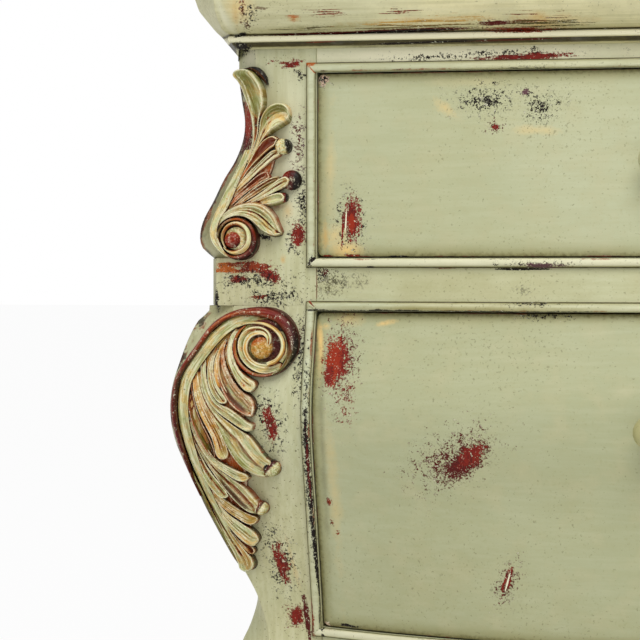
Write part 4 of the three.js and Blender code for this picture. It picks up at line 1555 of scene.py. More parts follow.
@dataclass
class Console(SubAssembly):
    """A carved leaf with a volute, applied to the face of a front post.

    along and across count a lobe's cells. A crease is a place whose crease_rays, crease_reach long, meet
    other carving. Where the leaf laps round the post's outer edge, over wrap, it bends back by wrap_depth.
    """

    chest: Carcase
    paint: Material
    level: str
    pieces: tuple[Lobe | Strand | Boss, ...]
    sink: float = 5.0
    picked_lift: float = 9.0
    along: int = 46
    across: int = 18
    crease_reach: float = 7.0
    crease_gain: float = 1.35
    crease_rays: int = 26
    wrap: float = 26.0
    wrap_depth: float = 9.0
    strand_across: int = 12
    boss_around: int = 28
    boss_up: int = 10
    flow_gap: float = 7.3

    def spot(self, pick: Sequence[float]) -> Vector:
        """Returns the x and z of a pick on the leaf."""
        place = self.chest.seen(pick, self.picked_lift)
        return Vector((place.x, place.z))

    def ground(self, spot: Vector) -> float:
        """Returns the y of the post's skin under a place, bent back round the post's outer edge."""
        x, z = -spot.x, spot.y
        _, flank, _ = self.chest.outline(z)
        past = eased(x, flank - self.wrap, flank + self.wrap * 0.25)
        return -self.chest.push(z) + self.wrap_depth * past

    def behind(self, spot: Vector) -> float:
        """Returns the y of the leaf's back under a place: on the post's face, or on its canted corner."""
        x, z = -spot.x, spot.y
        corner, flank, _ = self.chest.outline(z)
        slope = max(0.0, min(1.0, (x - corner) / max(1.0, flank - corner)))
        return -self.chest.push(z) + self.sink + slope * self.chest.cant_depth

    @staticmethod
    def tone_at(row: Sequence[Tone], share: float) -> Vector:
        """Returns the colour at a share of the way through a row of tones."""
        if len(row) == 1:
            return Vector(row[0].colour)
        place = max(0.0, min(1.0, share)) * (len(row) - 1)
        i = min(int(place), len(row) - 2)
        return Vector(row[i].colour).lerp(Vector(row[i + 1].colour), eased(place - i, 0.2, 0.8))

    @staticmethod
    def skin(shape: Shape, rings: Sequence[Sequence[Vector]], dresses: Sequence[Sequence[Dress]],
             flows: Sequence[Sequence[Vector]]) -> None:
        """Lofts a piece of the carving.

        Args:
            shape: The mesh in the making.
            rings: The places of each row.
            dresses: The hue, the crest, and the darkening (dirt, glazing and painted shade) of each place.
            flows: The place along and across the carving's grain of each.
        """
        for row, dress, flow in zip(shape.loft(rings), dresses, flows):
            for vert, (hue, crest, grime), way in zip(row, dress, flow):
                vert[shape.hue], vert[shape.flow] = hue, way
                vert[shape.marks["crest"]], vert[shape.marks["grime"]] = crest, grime

    def ring(self, spots: Sequence[Vector], heights: Sequence[float], spread: Point) -> list[Vector]:
        """Closes a row of the carving's skin behind, with steep sides down to the post.

        Args:
            spots: The places across the row.
            heights: The height of the skin at each.
            spread: How far the left and the right side lean out.

        Returns:
            The closed ring of the row.
        """
        top = [Vector((spot.x, self.ground(spot) - height, spot.y)) for spot, height in zip(spots, heights)]
        side = spots[-1] - spots[0]
        side = side.normalized() if side.length > 1e-6 else Vector((0.0, 0.0))
        ends = []
        for spot, height, way in ((spots[0], heights[0], -spread[0]), (spots[-1], heights[-1], spread[1])):
            low, middle = spot + side * way, spot + side * (way * 0.4)
            ends.append([Vector((middle.x, self.ground(middle) - height * 0.7, middle.y)),
                         Vector((low.x, self.behind(low), low.y))])
        return [ends[0][1], ends[0][0], *top, ends[1][0], ends[1][1]]

    def add_lobe(self, shape: Shape, lobe: Lobe, number: int) -> None:
        """Carves a lobe."""
        left = [self.spot(pick) for pick in spline(lobe.left, self.along, 1.25)]
        right = [self.spot(pick) for pick in spline(lobe.right, self.along, 1.25)]
        outline = np.array([tuple(spot) for spot in (*left, *right)])
        root, middle, tip = lobe.lift
        lift = Curve([(0.0, root), (0.5, middle), (0.9, tip), (1.0, tip * 0.88)])
        hollows, walls = tones(lobe.hollow), tones(lobe.walls)
        rim_hue, root_hue = Vector(Tone[lobe.rim.upper()].colour), Vector(Tone[lobe.root.upper()].colour)
        tip_hue = Vector(Tone[lobe.tip.upper()].colour) if lobe.tip else None
        rings, dresses, flows = [], [], []
        shares = [0.6 * (0.5 - 0.5 * math.cos(math.pi * t)) + 0.4 * t for t in steps(0, 1, self.across)]
        travelled = 0.0
        for i, (one, other) in enumerate(zip(left, right)):
            along = i / self.along
            # Where the edges meet, a row keeps a sliver of width, so that no face collapses.
            if (other - one).length < 0.4:
                middle = (one + other) / 2
                side = (right[i - 1] - left[i - 1]).normalized() * 0.2
                one, other = middle - side, middle + side
            if i:
                travelled += ((one + other) / 2 - (left[i - 1] + right[i - 1]) / 2).length
            width = (other - one).length
            spots = [one.lerp(other, share) for share in shares]
            near = np.array([tuple(spot) for spot in spots])
            gaps = np.sqrt(((near[:, None, :] - outline[None, :, :]) ** 2).sum(2)).min(1)
            half = max(width / 2, 0.3)
            rim = min(lobe.rim_width, half * 0.55)
            heights, dress, flow = [], [], []
            for spot, share, gap in zip(spots, shares, gaps):
                # deep goes from 0 on the rim to 1 in the hollow, drop from 0 there to 1 at the outer edge.
                deep = eased(gap, rim * 0.6, max(rim * 1.7, half * 0.85))
                scoop = lobe.scoop * min(1.0, half / 4.0) * eased(along, -0.1, 0.5)
                drop = 1 - min(1.0, gap / (rim * 0.6))
                rib = 0.0
                for place in lobe.ribs:
                    rib = max(rib, math.exp(-(((share - place) * width / 1.1) ** 2)))
                rib *= eased(along, 0.0, 0.12) * (1 - eased(along, 0.74, 0.92))
                heights.append(lift(along) - scoop * deep * (1 - 0.8 * rib) - 1.2 * drop**2)
                hollow = self.tone_at(hollows, share).lerp(root_hue, 1 - eased(along, 0.1, 0.5))
                if tip_hue:
                    hollow = hollow.lerp(tip_hue, eased(along, 0.76, 0.94))
                crest = max(1 - eased(gap, rim * 0.55, rim * 1.2), rib * 0.9)
                hue = hollow.lerp(rim_hue, crest * 0.95)
                line = eased(gap, rim * 0.9, rim * 1.3) * (1 - eased(gap, rim * 1.4, rim * 2.4))
                furrow = lobe.furrow * deep if lobe.ribs else 0.08 * deep
                # The lobe's outer edge, the line beside its rim and its furrows are darkened: glazing and
                # painted shade.
                dress.append((hue, crest, 0.5 * drop**2 + (0.3 * line + furrow) * (1 - rib) - lobe.clean))
                flow.append(Vector((share * width, travelled, number * self.flow_gap)))
            rings.append(self.ring(spots, heights, lobe.spread))
            ends = []
            for wall, here in zip(walls, (0, -1)):
                skirt = Vector(wall.colour)
                # Black and maroon walls darken their skirts further as painted shade along the lobe's sides;
                # other skirts are cleaned.
                glaze_and_shade = 0.6 if wall in (Tone.BLACK, Tone.MAROON) else -0.4
                ends.append([(skirt, 0.0, glaze_and_shade), (dress[here][0].lerp(skirt, 0.8), 0.0, glaze_and_shade)])
            dresses.append([*ends[0], *dress, *reversed(ends[1])])
            flows.append([flow[0], flow[0], *flow, flow[-1], flow[-1]])
        self.skin(shape, rings, dresses, flows)

    def add_strand(self, shape: Shape, strand: Strand, number: int) -> None:
        """Carves a ribbon."""
        count = max(self.along, 6 * len(strand.line))
        line = [self.spot(pick) for pick in spline(strand.line, count)]
        half = Curve(list(zip(steps(0, 1, len(strand.half) - 1), strand.half)))
        lift = Curve(list(zip(steps(0, 1, len(strand.lift) - 1), strand.lift)))
        dark = Vector(Tone[strand.wall.upper()].colour)
        rows = [tones(words) for words in strand.tones.split(",")]
        rings, dresses, flows = [], [], []
        travelled = 0.0
        for i, spot in enumerate(line):
            along = i / count
            run = line[min(i + 1, count)] - line[max(i - 1, 0)]
            travelled += (spot - line[max(i - 1, 0)]).length
            side = Vector((-run.y, run.x)).normalized()
            spots, heights, dress, flow = [], [], [], []
            for share in steps(-1, 1, self.strand_across):
                spots.append(spot - side * (share * half(along)))
                heights.append(lift(along) + strand.rise * (1 - share**2) - (0.5 if abs(share) == 1 else 0.0))
                place = along * (len(rows) - 1)
                near, far = (self.tone_at(rows[int(i)], share / 2 + 0.5)
                             for i in (place, min(place + 1, len(rows) - 1)))
                hue = near.lerp(far, place % 1)
                # The strand's edges are darkened: glazing and painted shade.
                glaze_and_shade = strand.crease * eased(abs(share), 0.7, 1.0) - strand.clean
                dress.append((hue, strand.chips * (1 - abs(share)), glaze_and_shade))
                flow.append(Vector((share * half(along), travelled, number * self.flow_gap)))
            rings.append(self.ring(spots, heights, (0.5, 0.5)))
            # The skirts take the wall's dark tone and painted shade along the strand's sides.
            dresses.append([(dark, 0.0, 0.6), (dark, 0.0, 0.5), *dress, (dark, 0.0, 0.5), (dark, 0.0, 0.6)])
            flows.append([flow[0], flow[0], *flow, flow[-1], flow[-1]])
        self.skin(shape, rings, dresses, flows)

    def add_boss(self, shape: Shape, boss: Boss, number: int) -> None:
        """Carves a ball, a curl or an eye."""
        middle = self.spot(boss.at)
        way = Vector((math.cos(math.radians(boss.turn)), math.sin(math.radians(boss.turn))))
        base = self.ground(middle)
        row = tones(boss.tones)
        rings, dresses, flows = [], [], []
        dome = [(math.cos(angle), math.sin(angle)) for angle in steps(0, math.pi / 2 - 0.06, self.boss_up)]
        for wide, up in [(1.02, None), *dome]:
            ring, dress, flow = [], [], []
            for angle in steps(0, math.tau, self.boss_around)[:-1]:
                arm = Vector((math.cos(angle), math.sin(angle))) * (boss.radius * wide)
                spot = middle + arm
                height = boss.lift - boss.radius * boss.flat * (1 - up) if up is not None else 0.0
                y = base - height if up is not None else self.behind(spot)
                ring.append(Vector((spot.x, y, spot.y)))
                # The tones run across the boss along its turn, painting light on one side and shade on the
                # other; its foot is darkened as painted shade.
                share = 0.5 + arm.dot(way) / (2 * boss.radius)
                crease = 0.8 if up is None else 0.5 * (1 - eased(up, 0.0, 0.45)) - boss.clean
                dress.append((self.tone_at(row, share), (up or 0.0) * 0.5, crease))
                flow.append(Vector((arm.x, arm.y * 10, number * self.flow_gap)))
            rings.append(ring)
            dresses.append(dress)
            flows.append(flow)
        self.skin(shape, rings, dresses, flows)

    def glaze(self, shape: Shape) -> None:
        """Darkens the creases, the places that see little of what lies before them: glazing there and painted
        shade.
        """
        bmesh.ops.recalc_face_normals(shape.mesh, faces=shape.mesh.faces)
        shape.mesh.normal_update()
        tree = BVHTree.FromBMesh(shape.mesh)
        golden_angle = math.pi * (3 - math.sqrt(5))
        ways = []
        for i in range(self.crease_rays):
            y = 1 - 2 * (i + 0.5) / self.crease_rays
            across = math.sqrt(1 - y * y)
            turn = golden_angle * i
            ways.append(Vector((across * math.cos(turn), y, across * math.sin(turn))))
        for vert in shape.mesh.verts:
            normal = vert.normal
            if normal.y > 0.4:
                continue
            start = vert.co + normal * 0.2
            floor = self.ground(Vector((start.x, start.z)))
            seen = shut = 0.0
            for way in ways:
                weight = way.dot(normal)
                if weight < 0.15:
                    continue
                seen += weight
                distance = tree.ray_cast(start, way, self.crease_reach)[3]
                if distance is None and way.y > 0:
                    distance = max(0.0, (floor - start.y) / way.y)
                if distance is not None and distance < self.crease_reach:
                    shut += weight * (1 - distance / self.crease_reach)
            crease = shut / max(seen, 1e-6)
            grime = vert[shape.marks["grime"]]
            vert[shape.marks["grime"]] = min(1.0, grime * 0.6 + max(0.0, crease - 0.12) * self.crease_gain)

    def build(self) -> None:
        """Carves the leaf for both posts."""
        shape = Shape()
        carve = {Lobe: self.add_lobe, Strand: self.add_strand, Boss: self.add_boss}
        for number, piece in enumerate(self.pieces):
            part = Shape()
            carve[type(piece)](part, piece, number)
            shape.absorb(part)
        self.glaze(shape)
        self.fit_pair(shape, f"{self.level}_leaf", self.paint, Slot.CARVING, 50.0)


UPPER_LEAF: tuple[Lobe | Strand | Boss, ...] = (
    Lobe(((216, 226), (221, 212), (228, 198), (237, 182), (245, 167), (252, 152)),
         ((226, 222), (235, 212), (246, 201), (258, 189), (268, 175), (273, 160)),
         "pale ochre orange orange orange", "orange", ribs=(0.2, 0.4, 0.6, 0.8), lift=(3, 4.5, 3),
         scoop=1.5, clean=0.5),
    Boss((290.5, 180), 10, "brick red maroon black black", 9, -10, 0.5, 0.5),
    Boss((282.5, 197.5), 4.8, "brick red black", 9, 0, 0.6, 0.5),
    # A thin black strand beyond the hood's upper right edge paints the shadow that the hood casts on the
    # post.
    Strand(((238, 69.2), (244, 68.4), (250, 67.8), (256, 70.4), (260.6, 74.6), (264, 79.5), (265.8, 84)),
           (0.6, 0.8, 1.6, 2.9, 2.9, 2.2, 0.6), "black black umber black", (4, 4), 1, 0.6, "black"),
    Lobe(((243, 150), (238.5, 161), (233.5, 172), (228.5, 182), (223.5, 192), (219, 202), (214.5, 212),
          (210.7, 222), (209.3, 232), (211.5, 241), (217, 249), (224, 255), (229.5, 257.5)),
         ((251, 149), (247, 160), (243, 170), (239, 179), (235.5, 188), (232, 197), (228, 206),
          (224, 213.5), (219.5, 221), (217.3, 230), (218, 238), (222, 246.5), (229.5, 257.5)),
         "pale bright pale", "pale", "pale", "cream", ribs=(0.75,), lift=(6, 9, 12), scoop=1.6,
         walls="rust black", rim_width=1.3, clean=0.15),
    Lobe(((246, 160), (249.5, 149), (251.5, 138), (251.5, 126), (250, 115), (247.5, 106), (244.5, 98),
          (241.3, 89), (237.5, 81.5), (233.2, 77), (232.2, 73.8), (235, 70.6), (241, 69)),
         ((248, 160), (252.5, 149), (256.5, 139), (258.2, 130), (258.7, 121), (260.7, 113), (262.7, 104),
          (262.4, 94), (259.8, 84.5), (255.4, 77), (250.5, 71.8), (246, 69.6), (241, 69)),
         "pale khaki leaf pale cream", "pale", "raw", "leaf", ribs=(0.22,), lift=(6, 12, 17), scoop=6,
         rim_width=1.5, walls="black khaki", spread=(0.9, 2.6), clean=0.1),
    Lobe(((246, 163), (249.5, 155), (253.5, 147), (257.2, 138), (259, 130), (260.4, 121.5), (263.2, 114),
          (267.2, 108.5), (272, 105), (278, 103.4), (284, 104.4), (288.6, 108.4), (290, 114)),
         ((248, 164), (252, 156.5), (257, 148), (262.5, 140), (267.5, 133.5), (273, 128.5), (279, 124.8),
          (285, 121.5), (288.8, 118.5), (290, 114)),
         "leaf khaki leaf cream cream cream", "cream", "ochre", "pale", ribs=(0.52,), lift=(6, 12, 15),
         scoop=5, rim_width=1.3, walls="ochre khaki", spread=(0.8, 3.6), clean=0.1),
    Lobe(((239, 178), (244, 168.5), (249, 160.5), (254, 152.5), (258.5, 146), (263, 141), (268, 137.6),
          (273, 136.3), (278, 139)),
         ((241, 179.5), (247, 171), (253.5, 163.5), (259.5, 157.5), (265.5, 152), (271, 147.8),
          (275, 145.2), (278, 139)),
         "rose rust rose rose", "amber", "orange", "rust", lift=(5, 10, 13), scoop=5, rim_width=1.2,
         walls="rust rust", clean=0.1),
    Lobe(((234, 189), (241, 180), (249, 171.5), (257, 164), (264.5, 157), (271, 151.6), (278, 149)),
         ((236, 191.5), (245, 184), (254, 176), (262, 168.5), (269.5, 162), (275.5, 157.6), (280, 154.5),
          (278, 149)),
         "olive leaf cream", "cream", "ochre", "cream", ribs=(0.35, 0.7), lift=(5, 9, 12), scoop=3.5,
         rim_width=1.2, walls="black rust"),
    Boss((283, 146.4), 7.9, "ochre cream cream pale black black", 15.5, 10, 0.75, 0.3),
    Lobe(((229, 203), (234, 196), (241, 189.5), (249, 182.5), (256, 176.5), (262.5, 172.5), (267, 171.5)),
         ((231, 205.5), (238, 199), (246.5, 192.5), (255.5, 186.5), (263, 181.5), (269.5, 178),
          (267, 171.5)),
         "maroon rose raw", "orange", "orange", "rose", ribs=(0.55,), lift=(5, 9, 11), scoop=4.5,
         rim_width=1.2, walls="orange rust", clean=0.15),
    Lobe(((232, 206), (240, 199), (249, 191.5), (258, 185), (267, 179.8), (275, 176.8), (280, 177)),
         ((235, 208), (244, 201.8), (254, 195.8), (263.5, 190), (272, 185), (278, 181.5), (280, 177)),
         "rose plum leaf", "ochre", "orange", "pale", ribs=(0.5,), lift=(5, 10, 11.5), scoop=4.5,
         rim_width=1.2, walls="rust rust", clean=0.15),
    Lobe(((235, 209), (244, 202.8), (254, 196.6), (263.5, 190.5), (272.5, 184), (280, 179), (286, 176.8),
          (290, 180)),
         ((238, 210.5), (248, 205), (258, 200.2), (267.5, 195.8), (276, 191.5), (283, 188), (288, 184.8),
          (290, 180)),
         "orange leaf leaf cream", "cream", "orange", "cream", ribs=(0.3, 0.65), lift=(5, 11, 14.5),
         scoop=3.6, rim_width=1.5, walls="rust maroon", clean=0.1),
    Lobe(((241, 208.5), (249.5, 203.6), (258.5, 199), (267, 195.6), (275.5, 193.2), (281.5, 193.4),
          (284.5, 196.6)),
         ((243, 209.8), (252.5, 206.8), (262.5, 205), (271, 204), (278.5, 202), (283.5, 199.8),
          (284.5, 196.6)),
         "ochre pale cream leaf", "cream", "orange", "cream", lift=(5, 9.5, 12.5), scoop=3, rim_width=1.5,
         walls="orange khaki", spread=(0.8, 2.8), clean=0.1),
    Lobe(((214.5, 227), (218.5, 219), (225, 212.3), (233.5, 207.6), (243, 204.4), (253, 203.4),
          (262, 205.6), (269, 210.6), (274.3, 217.5), (278, 225.5), (281.5, 233.5)),
         ((216.5, 230), (221, 223), (228, 218.4), (236, 216), (244, 216.6), (251.5, 220.2), (258, 226),
          (263.5, 231), (269.5, 234.2), (275.5, 235.4), (281.5, 233.5)),
         "orange pale pale cream pale pale", "pale", "ochre", "cream", ribs=(0.22, 0.42, 0.62, 0.8),
         lift=(8, 13.5, 12.5), scoop=4.6, rim_width=1.5, walls="rust black", spread=(3.2, 2.4),
         furrow=0.42),
    Boss((236, 239.5), 19.6, "olive umber khaki pale", 5.5, 0, 0.1, 0.3),
    Strand(((218.5, 246), (217, 237), (219.5, 229), (225, 222.6), (233, 219.4), (241.5, 220),
            (248.6, 224.6), (253, 232), (254.4, 240.5), (252.3, 248.5), (246.4, 254.6), (238.4, 257.3),
            (230.5, 256.4), (224.5, 252)),
           (0.8, 1.4, 1.8, 2.4, 3.6, 3.2, 0.8),
           "black raw black, umber olive leaf, umber orange khaki, umber rust maroon pale, "
           "black maroon maroon olive, black maroon red maroon, black orange ochre",
           (8, 9, 10, 9), 3, 0.3, chips=0.5, clean=0.2),
    Strand(((226, 248.5), (222.8, 240), (223.6, 232.5), (228, 226), (235, 223.2), (242.2, 225),
            (247.4, 230.4), (249.2, 238), (247.6, 245.4), (242.4, 250.6), (235, 252.6), (228.5, 251),
            (224.6, 247.6)),
           (0.8, 1.4, 1.5, 2, 2.8, 2.8, 2, 0.6),
           "cream cream, ochre orange, cream cream orange, cream cream cream rust, cream cream orange",
           (11, 12, 12.5), 2.2, 0.1, "orange", clean=0.2),
    Boss((236.5, 238.5), 11.5, "ochre pale cream leaf", 10.5, 0, 0.1, 0.75),
    Boss((232.8, 240), 8.3, "maroon red brick brick orange", 16, 125, 0.75, 0.45),
)

LOWER_LEAF: tuple[Lobe | Strand | Boss, ...] = (
    Lobe(((238, 324), (214, 339), (199, 360), (190, 382), (187, 410), (193, 445), (207, 485), (226, 522),
          (240, 548)),
         ((241, 333), (240, 368), (242, 392), (243, 415), (240, 452), (245, 473), (246, 503), (250, 528),
          (251, 550)),
         "pale ochre rust orange orange", "orange", ribs=(0.3, 0.5, 0.7), lift=(3, 4.5, 3), scoop=1.5,
         clean=0.5),
    Lobe(((221, 344), (216.5, 355), (215, 367), (217.5, 380), (221.5, 390.5), (226.5, 399.5), (233, 407),
          (241, 412.7), (248, 416), (252.3, 416)),
         ((226, 340), (223, 352), (224.8, 365), (229.8, 376), (236.8, 386), (243.8, 392.6), (249.8, 397),
          (253.4, 403), (254, 410), (252.3, 416)),
         "orange umber pale pale bright", "orange", "ochre", "raw", ribs=(0.62, 0.8), lift=(5, 9, 12.5),
         scoop=4.6, rim_width=1.9, walls="orange black", spread=(3, 2.4), clean=0.15),
    Lobe(((221, 343), (216.5, 352), (213.3, 363), (213.5, 375), (216.5, 386), (220.5, 394), (224.5, 399)),
         ((226, 338), (221.5, 348), (218.6, 360), (219.2, 373), (222.5, 384), (226.5, 392), (229.5, 398),
          (224.5, 399)),
         "ochre amber rust", "ochre", "ochre", "rust", ribs=(0.5,), lift=(5, 8, 7), scoop=3, rim_width=1.2,
         walls="orange umber", clean=0.1),
    Lobe(((214, 347), (209, 357), (206.8, 368), (207.3, 380), (210, 390), (214, 397), (219, 402.4),
          (224.3, 403.8)),
         ((217.5, 350), (213.3, 361), (213.4, 373), (216.6, 384), (221.6, 392), (226, 398.2), (227, 402),
          (224.3, 403.8)),
         "leaf pale pale leaf", "pale", "orange", "cream", ribs=(0.45, 0.7), lift=(5, 10, 12.5), scoop=4,
         rim_width=1.3, walls="rust rust"),
    Lobe(((238, 325), (231.5, 332.5), (228.2, 341), (226.8, 350.5), (228, 360.5), (231.5, 369.5),
          (235.5, 377.5), (240, 384.5), (245, 389.8), (250.5, 391.8), (254, 389.8)),
         ((241.5, 328), (236, 335), (232.8, 343), (232.4, 352), (234.8, 361), (239.2, 369), (244.8, 375.5),
          (250.4, 379.4), (254.8, 382), (256, 386), (254, 389.8)),
         "pale pale pale bright", "bright", "pale", "cream", ribs=(0.42, 0.7), lift=(6, 12, 14.5),
         scoop=3.6, rim_width=1.5, walls="rust maroon", spread=(1.6, 1.4), clean=0.1),
    Lobe(((200, 352), (199.3, 366), (200.4, 378), (203, 390), (208.3, 401.3), (217, 411.4), (228, 419.5),
          (238.5, 426.5), (246.5, 431), (251.8, 430.4)),
         ((206, 350), (204.8, 364), (206.2, 377), (209.4, 389), (215, 399.2), (223, 405.4), (232, 410.4),
          (240.5, 416.4), (247.6, 422.4), (252.8, 425), (251.8, 430.4)),
         "pale pale pale", "pale", "pale", "cream", ribs=(0.6,), lift=(5, 10.5, 13.5), scoop=2.6,
         rim_width=1.4, walls="leaf rust", spread=(0.8, 1.4), clean=0.1),
    Lobe(((195, 372), (196.5, 388), (201, 402), (208.5, 417), (217.5, 431), (225.8, 444), (233, 456),
          (241, 465.4), (250, 471.6), (259, 475.6), (267, 476.6)),
         ((200.5, 370), (203, 386), (207.6, 398.8), (216, 410.6), (227, 420.4), (238, 428.2),
          (247.5, 434.4), (255, 442.6), (261.2, 451.2), (266.8, 458.4), (271.6, 463), (267, 476.6)),
         "leaf leaf pale pale rust cream pale pale cream", "pale", "ochre", "pale", ribs=(0.3, 0.56, 0.68),
         lift=(5, 12.5, 14), scoop=5, rim_width=1.5, walls="orange black", spread=(3.6, 1.4), clean=0.1),
    Boss((271.5, 468.3), 8.2, "black black maroon bright pale leaf", 15.6, -45, 0.75, 0.1),
    Lobe(((190.5, 372), (192, 390), (195.6, 405), (200.8, 417), (206.6, 427.6), (211.6, 437), (214.6, 446),
          (216, 453), (219.4, 458.2), (224, 459.4)),
         ((196, 368), (198.6, 384), (202.6, 398), (209, 411.4), (216, 423.4), (222, 434), (226.6, 444.4),
          (228.8, 452), (227.6, 457.4), (224, 459.4)),
         "ochre amber ochre leaf", "ochre", "amber", "cream", ribs=(0.3, 0.55, 0.78), lift=(5, 11, 13),
         scoop=3.6, rim_width=1.4, walls="rust rust", clean=0.1),
    Lobe(((184.8, 384), (186, 400), (189, 415), (194, 429.4), (200.6, 442.6), (208, 453.4), (214.3, 459)),
         ((189.6, 374), (192, 392), (196.6, 410), (202.6, 424.4), (209, 435.8), (213.6, 446), (215.4, 454),
          (214.3, 459)),
         "rust khaki umber red", "orange", "rust", "khaki", lift=(5, 9, 11.5), scoop=7, rim_width=1.3,
         walls="orange rust"),
    Lobe(((184.6, 404), (187.6, 421), (194, 438), (203, 453), (213.4, 464.6), (226, 473.6), (237, 480),
          (245, 481.4), (249.4, 478)),
         ((188.6, 406), (192.6, 422), (199.6, 437), (207.6, 449.6), (217, 459.4), (228.4, 466.6),
          (239.4, 471.4), (247, 474.2), (249.4, 478)),
         "pale pale leaf", "pale", "ochre", "cream", ribs=(0.4, 0.65), lift=(5, 10.5, 13.5), scoop=3.2,
         rim_width=1.4, walls="rust umber", clean=0.1),
    Lobe(((194, 444), (202, 458), (211.4, 471.4), (222, 485.4), (232, 497), (240.6, 505.4), (248.6, 511.2),
          (256, 513.6)),
         ((199, 444), (207.6, 457.6), (218.4, 468.6), (229.6, 476.4), (240, 483.6), (248.6, 491.2),
          (254.6, 498.4), (258.8, 504.6), (256, 513.6)),
         "olive umber raw rose pale cream", "pale", "ochre", "pale", ribs=(0.35, 0.7), lift=(5, 12, 14),
         scoop=5, rim_width=1.4, walls="orange rust", spread=(3, 2.6), clean=0.1),
    Boss((261.3, 508), 6.8, "black rust umber cream pale leaf", 15, -35, 0.75, 0.1),
    Lobe(((188.6, 440), (193.4, 455.6), (199.4, 470.4), (206.2, 482.4), (213.8, 491.4), (220.6, 497.4),
          (226, 498)),
         ((193.6, 440), (199.4, 453.6), (206.6, 466.6), (214.4, 476.6), (221.6, 484.6), (227, 491.6),
          (229, 495.4), (226, 498)),
         "pale pale leaf", "pale", "ochre", "pale", ribs=(0.4,), lift=(5, 10, 13), scoop=3.8, rim_width=1.5,
         walls="black black", spread=(1, 1.2), clean=0.1),
    Lobe(((192.6, 466), (201.6, 481.6), (213, 498), (226, 510.4), (238.4, 518.8), (248.4, 524),
          (254.6, 523.6), (258, 520)),
         ((196.6, 464), (206.4, 479.4), (218.6, 494), (231, 504), (242.4, 510.6), (251.6, 514.6),
          (257, 517), (258, 520)),
         "ochre leaf ochre leaf", "ochre", "ochre", "ochre", ribs=(0.25, 0.45, 0.65), lift=(5, 10, 13),
         scoop=2.6, rim_width=1.2, walls="rust umber", clean=0.1),
    Lobe(((198, 478), (207.6, 496), (218.6, 513.4), (229.6, 527.8), (239.6, 538), (247.6, 544),
          (254, 545.8), (258.2, 542)),
         ((202, 476), (212.6, 494.6), (226, 511.4), (238.6, 520.8), (249, 527.6), (256, 533.8), (259, 539),
          (258.2, 542)),
         "pale ochre leaf pale cream", "pale", "ochre", "cream", ribs=(0.3, 0.5, 0.72),
         lift=(5, 10.5, 13.5), scoop=3, rim_width=1.3, walls="black black", spread=(1, 1.8), clean=0.1),
    Lobe(((212, 504), (221, 520), (231, 534.4), (240.6, 545.6), (248, 552.2), (252.6, 554.4)),
         ((215, 503), (225.6, 519.6), (237, 533.6), (246, 541.6), (253, 547), (255, 551.4),
          (252.6, 554.4)),
         "ochre rust black", "ochre", "leaf", "maroon", ribs=(0.35,), lift=(5, 9, 11.5), scoop=4,
         rim_width=1.2, walls="rust black"),
    Lobe(((200, 492), (208.6, 509.6), (217.6, 526.6), (226.6, 542.8), (233.6, 555), (237.4, 563.6),
          (239, 569), (243.6, 572)),
         ((205, 490.6), (215, 508.4), (226, 524.6), (236, 538.8), (245, 549.6), (251.6, 557.6),
          (254, 564.4), (251, 569.6), (243.6, 572)),
         "pale pale ochre ochre", "pale", "pale", "pale", ribs=(0.3, 0.6), lift=(5, 11, 15), scoop=4.2,
         rim_width=1.6, walls="olive black", spread=(0.8, 2)),
    Strand(((280.6, 362), (286.4, 351), (287, 340), (283.4, 330.4), (276, 322.4), (265.6, 318.2),
            (252, 317.8), (239, 320.3), (228, 326), (218.4, 334), (209.6, 343.8), (201, 355), (193, 367),
            (186.2, 380), (183.2, 394), (182.6, 408), (184, 423), (187.4, 438), (191.8, 453),
            (197.4, 468.6), (204.4, 485), (212, 501), (220, 516.4), (228, 531), (235, 545)),
           (2, 5.4, 5.8, 5.8, 5.8, 5.4, 5, 4.4, 3.6, 2.8, 2.2), "pale pale bright leaf", (9, 9.5, 9, 9.5),
           -1.2, 0.05, clean=0.2),
    Strand(((186.6, 462), (193, 478), (199.6, 491.6), (204, 501.6), (209, 512), (214.6, 522.6),
            (221, 534.6), (227.8, 547.4), (234, 559), (240.4, 569)),
           (1, 2.2, 2.6, 2.6, 2.6, 2.2, 0.8), "leaf olive umber, leaf khaki olive", (9, 9, 9), 2.2, 0.3),
    Strand(((272, 374.6), (281.4, 369), (288.8, 359), (292.4, 347), (291.4, 335.8), (286.8, 325.6),
            (279.6, 318), (270.6, 313.8), (260, 312), (249, 311.8), (238, 313), (227.8, 316.6),
            (218.4, 322.4), (210.4, 330), (203.4, 339.4), (196.4, 349.6), (189, 359.4), (182.6, 369),
            (177.2, 380), (174.6, 392), (173.4, 405), (174, 418), (176.4, 431), (180, 444), (184.4, 457),
            (189.2, 470), (194.4, 482.6), (200.6, 496)),
           (1, 5.6, 6, 3.4, 2.8, 3, 3.2, 3, 2.4, 1.2),
           "pale khaki black, black maroon maroon black black, umber rust red red maroon, "
           "umber rust orange rust red, umber rust brick red, black umber red rust, "
           "umber maroon red maroon, umber maroon red maroon, umber maroon black",
           (7, 11, 12, 11.5, 11), 4, 0.2, chips=0.5, clean=0.15),
    # The volute's hollow: ochre on the left and painted shadow in black on the right.
    Boss((262, 346), 26, "ochre leaf umber maroon black", 5, 20, 0.06, 0.35),
    Strand(((245.6, 325.4), (239.4, 331), (235.4, 338.6), (234, 347), (235, 355.6), (238.8, 363.6),
            (245.4, 370.4), (254.4, 374.8), (264.6, 375.6), (275.6, 373), (284.6, 368)),
           (1.2, 1.8, 2, 1.6, 1.2), "ochre orange rust, umber rust umber", (8, 7, 7), 1.6, 0.3, clean=0.2),
    Lobe(((286.6, 365.6), (275.6, 372), (262.6, 374), (250.6, 369.4), (241.6, 360), (237.8, 347.6),
          (240, 336.6), (246.8, 329), (256.6, 326.4), (265.8, 328.6), (271.2, 335), (271.6, 342),
          (269.4, 347)),
         ((283, 357.6), (274.6, 362.4), (264, 364.4), (254, 361.4), (248.2, 353.8), (247.8, 345),
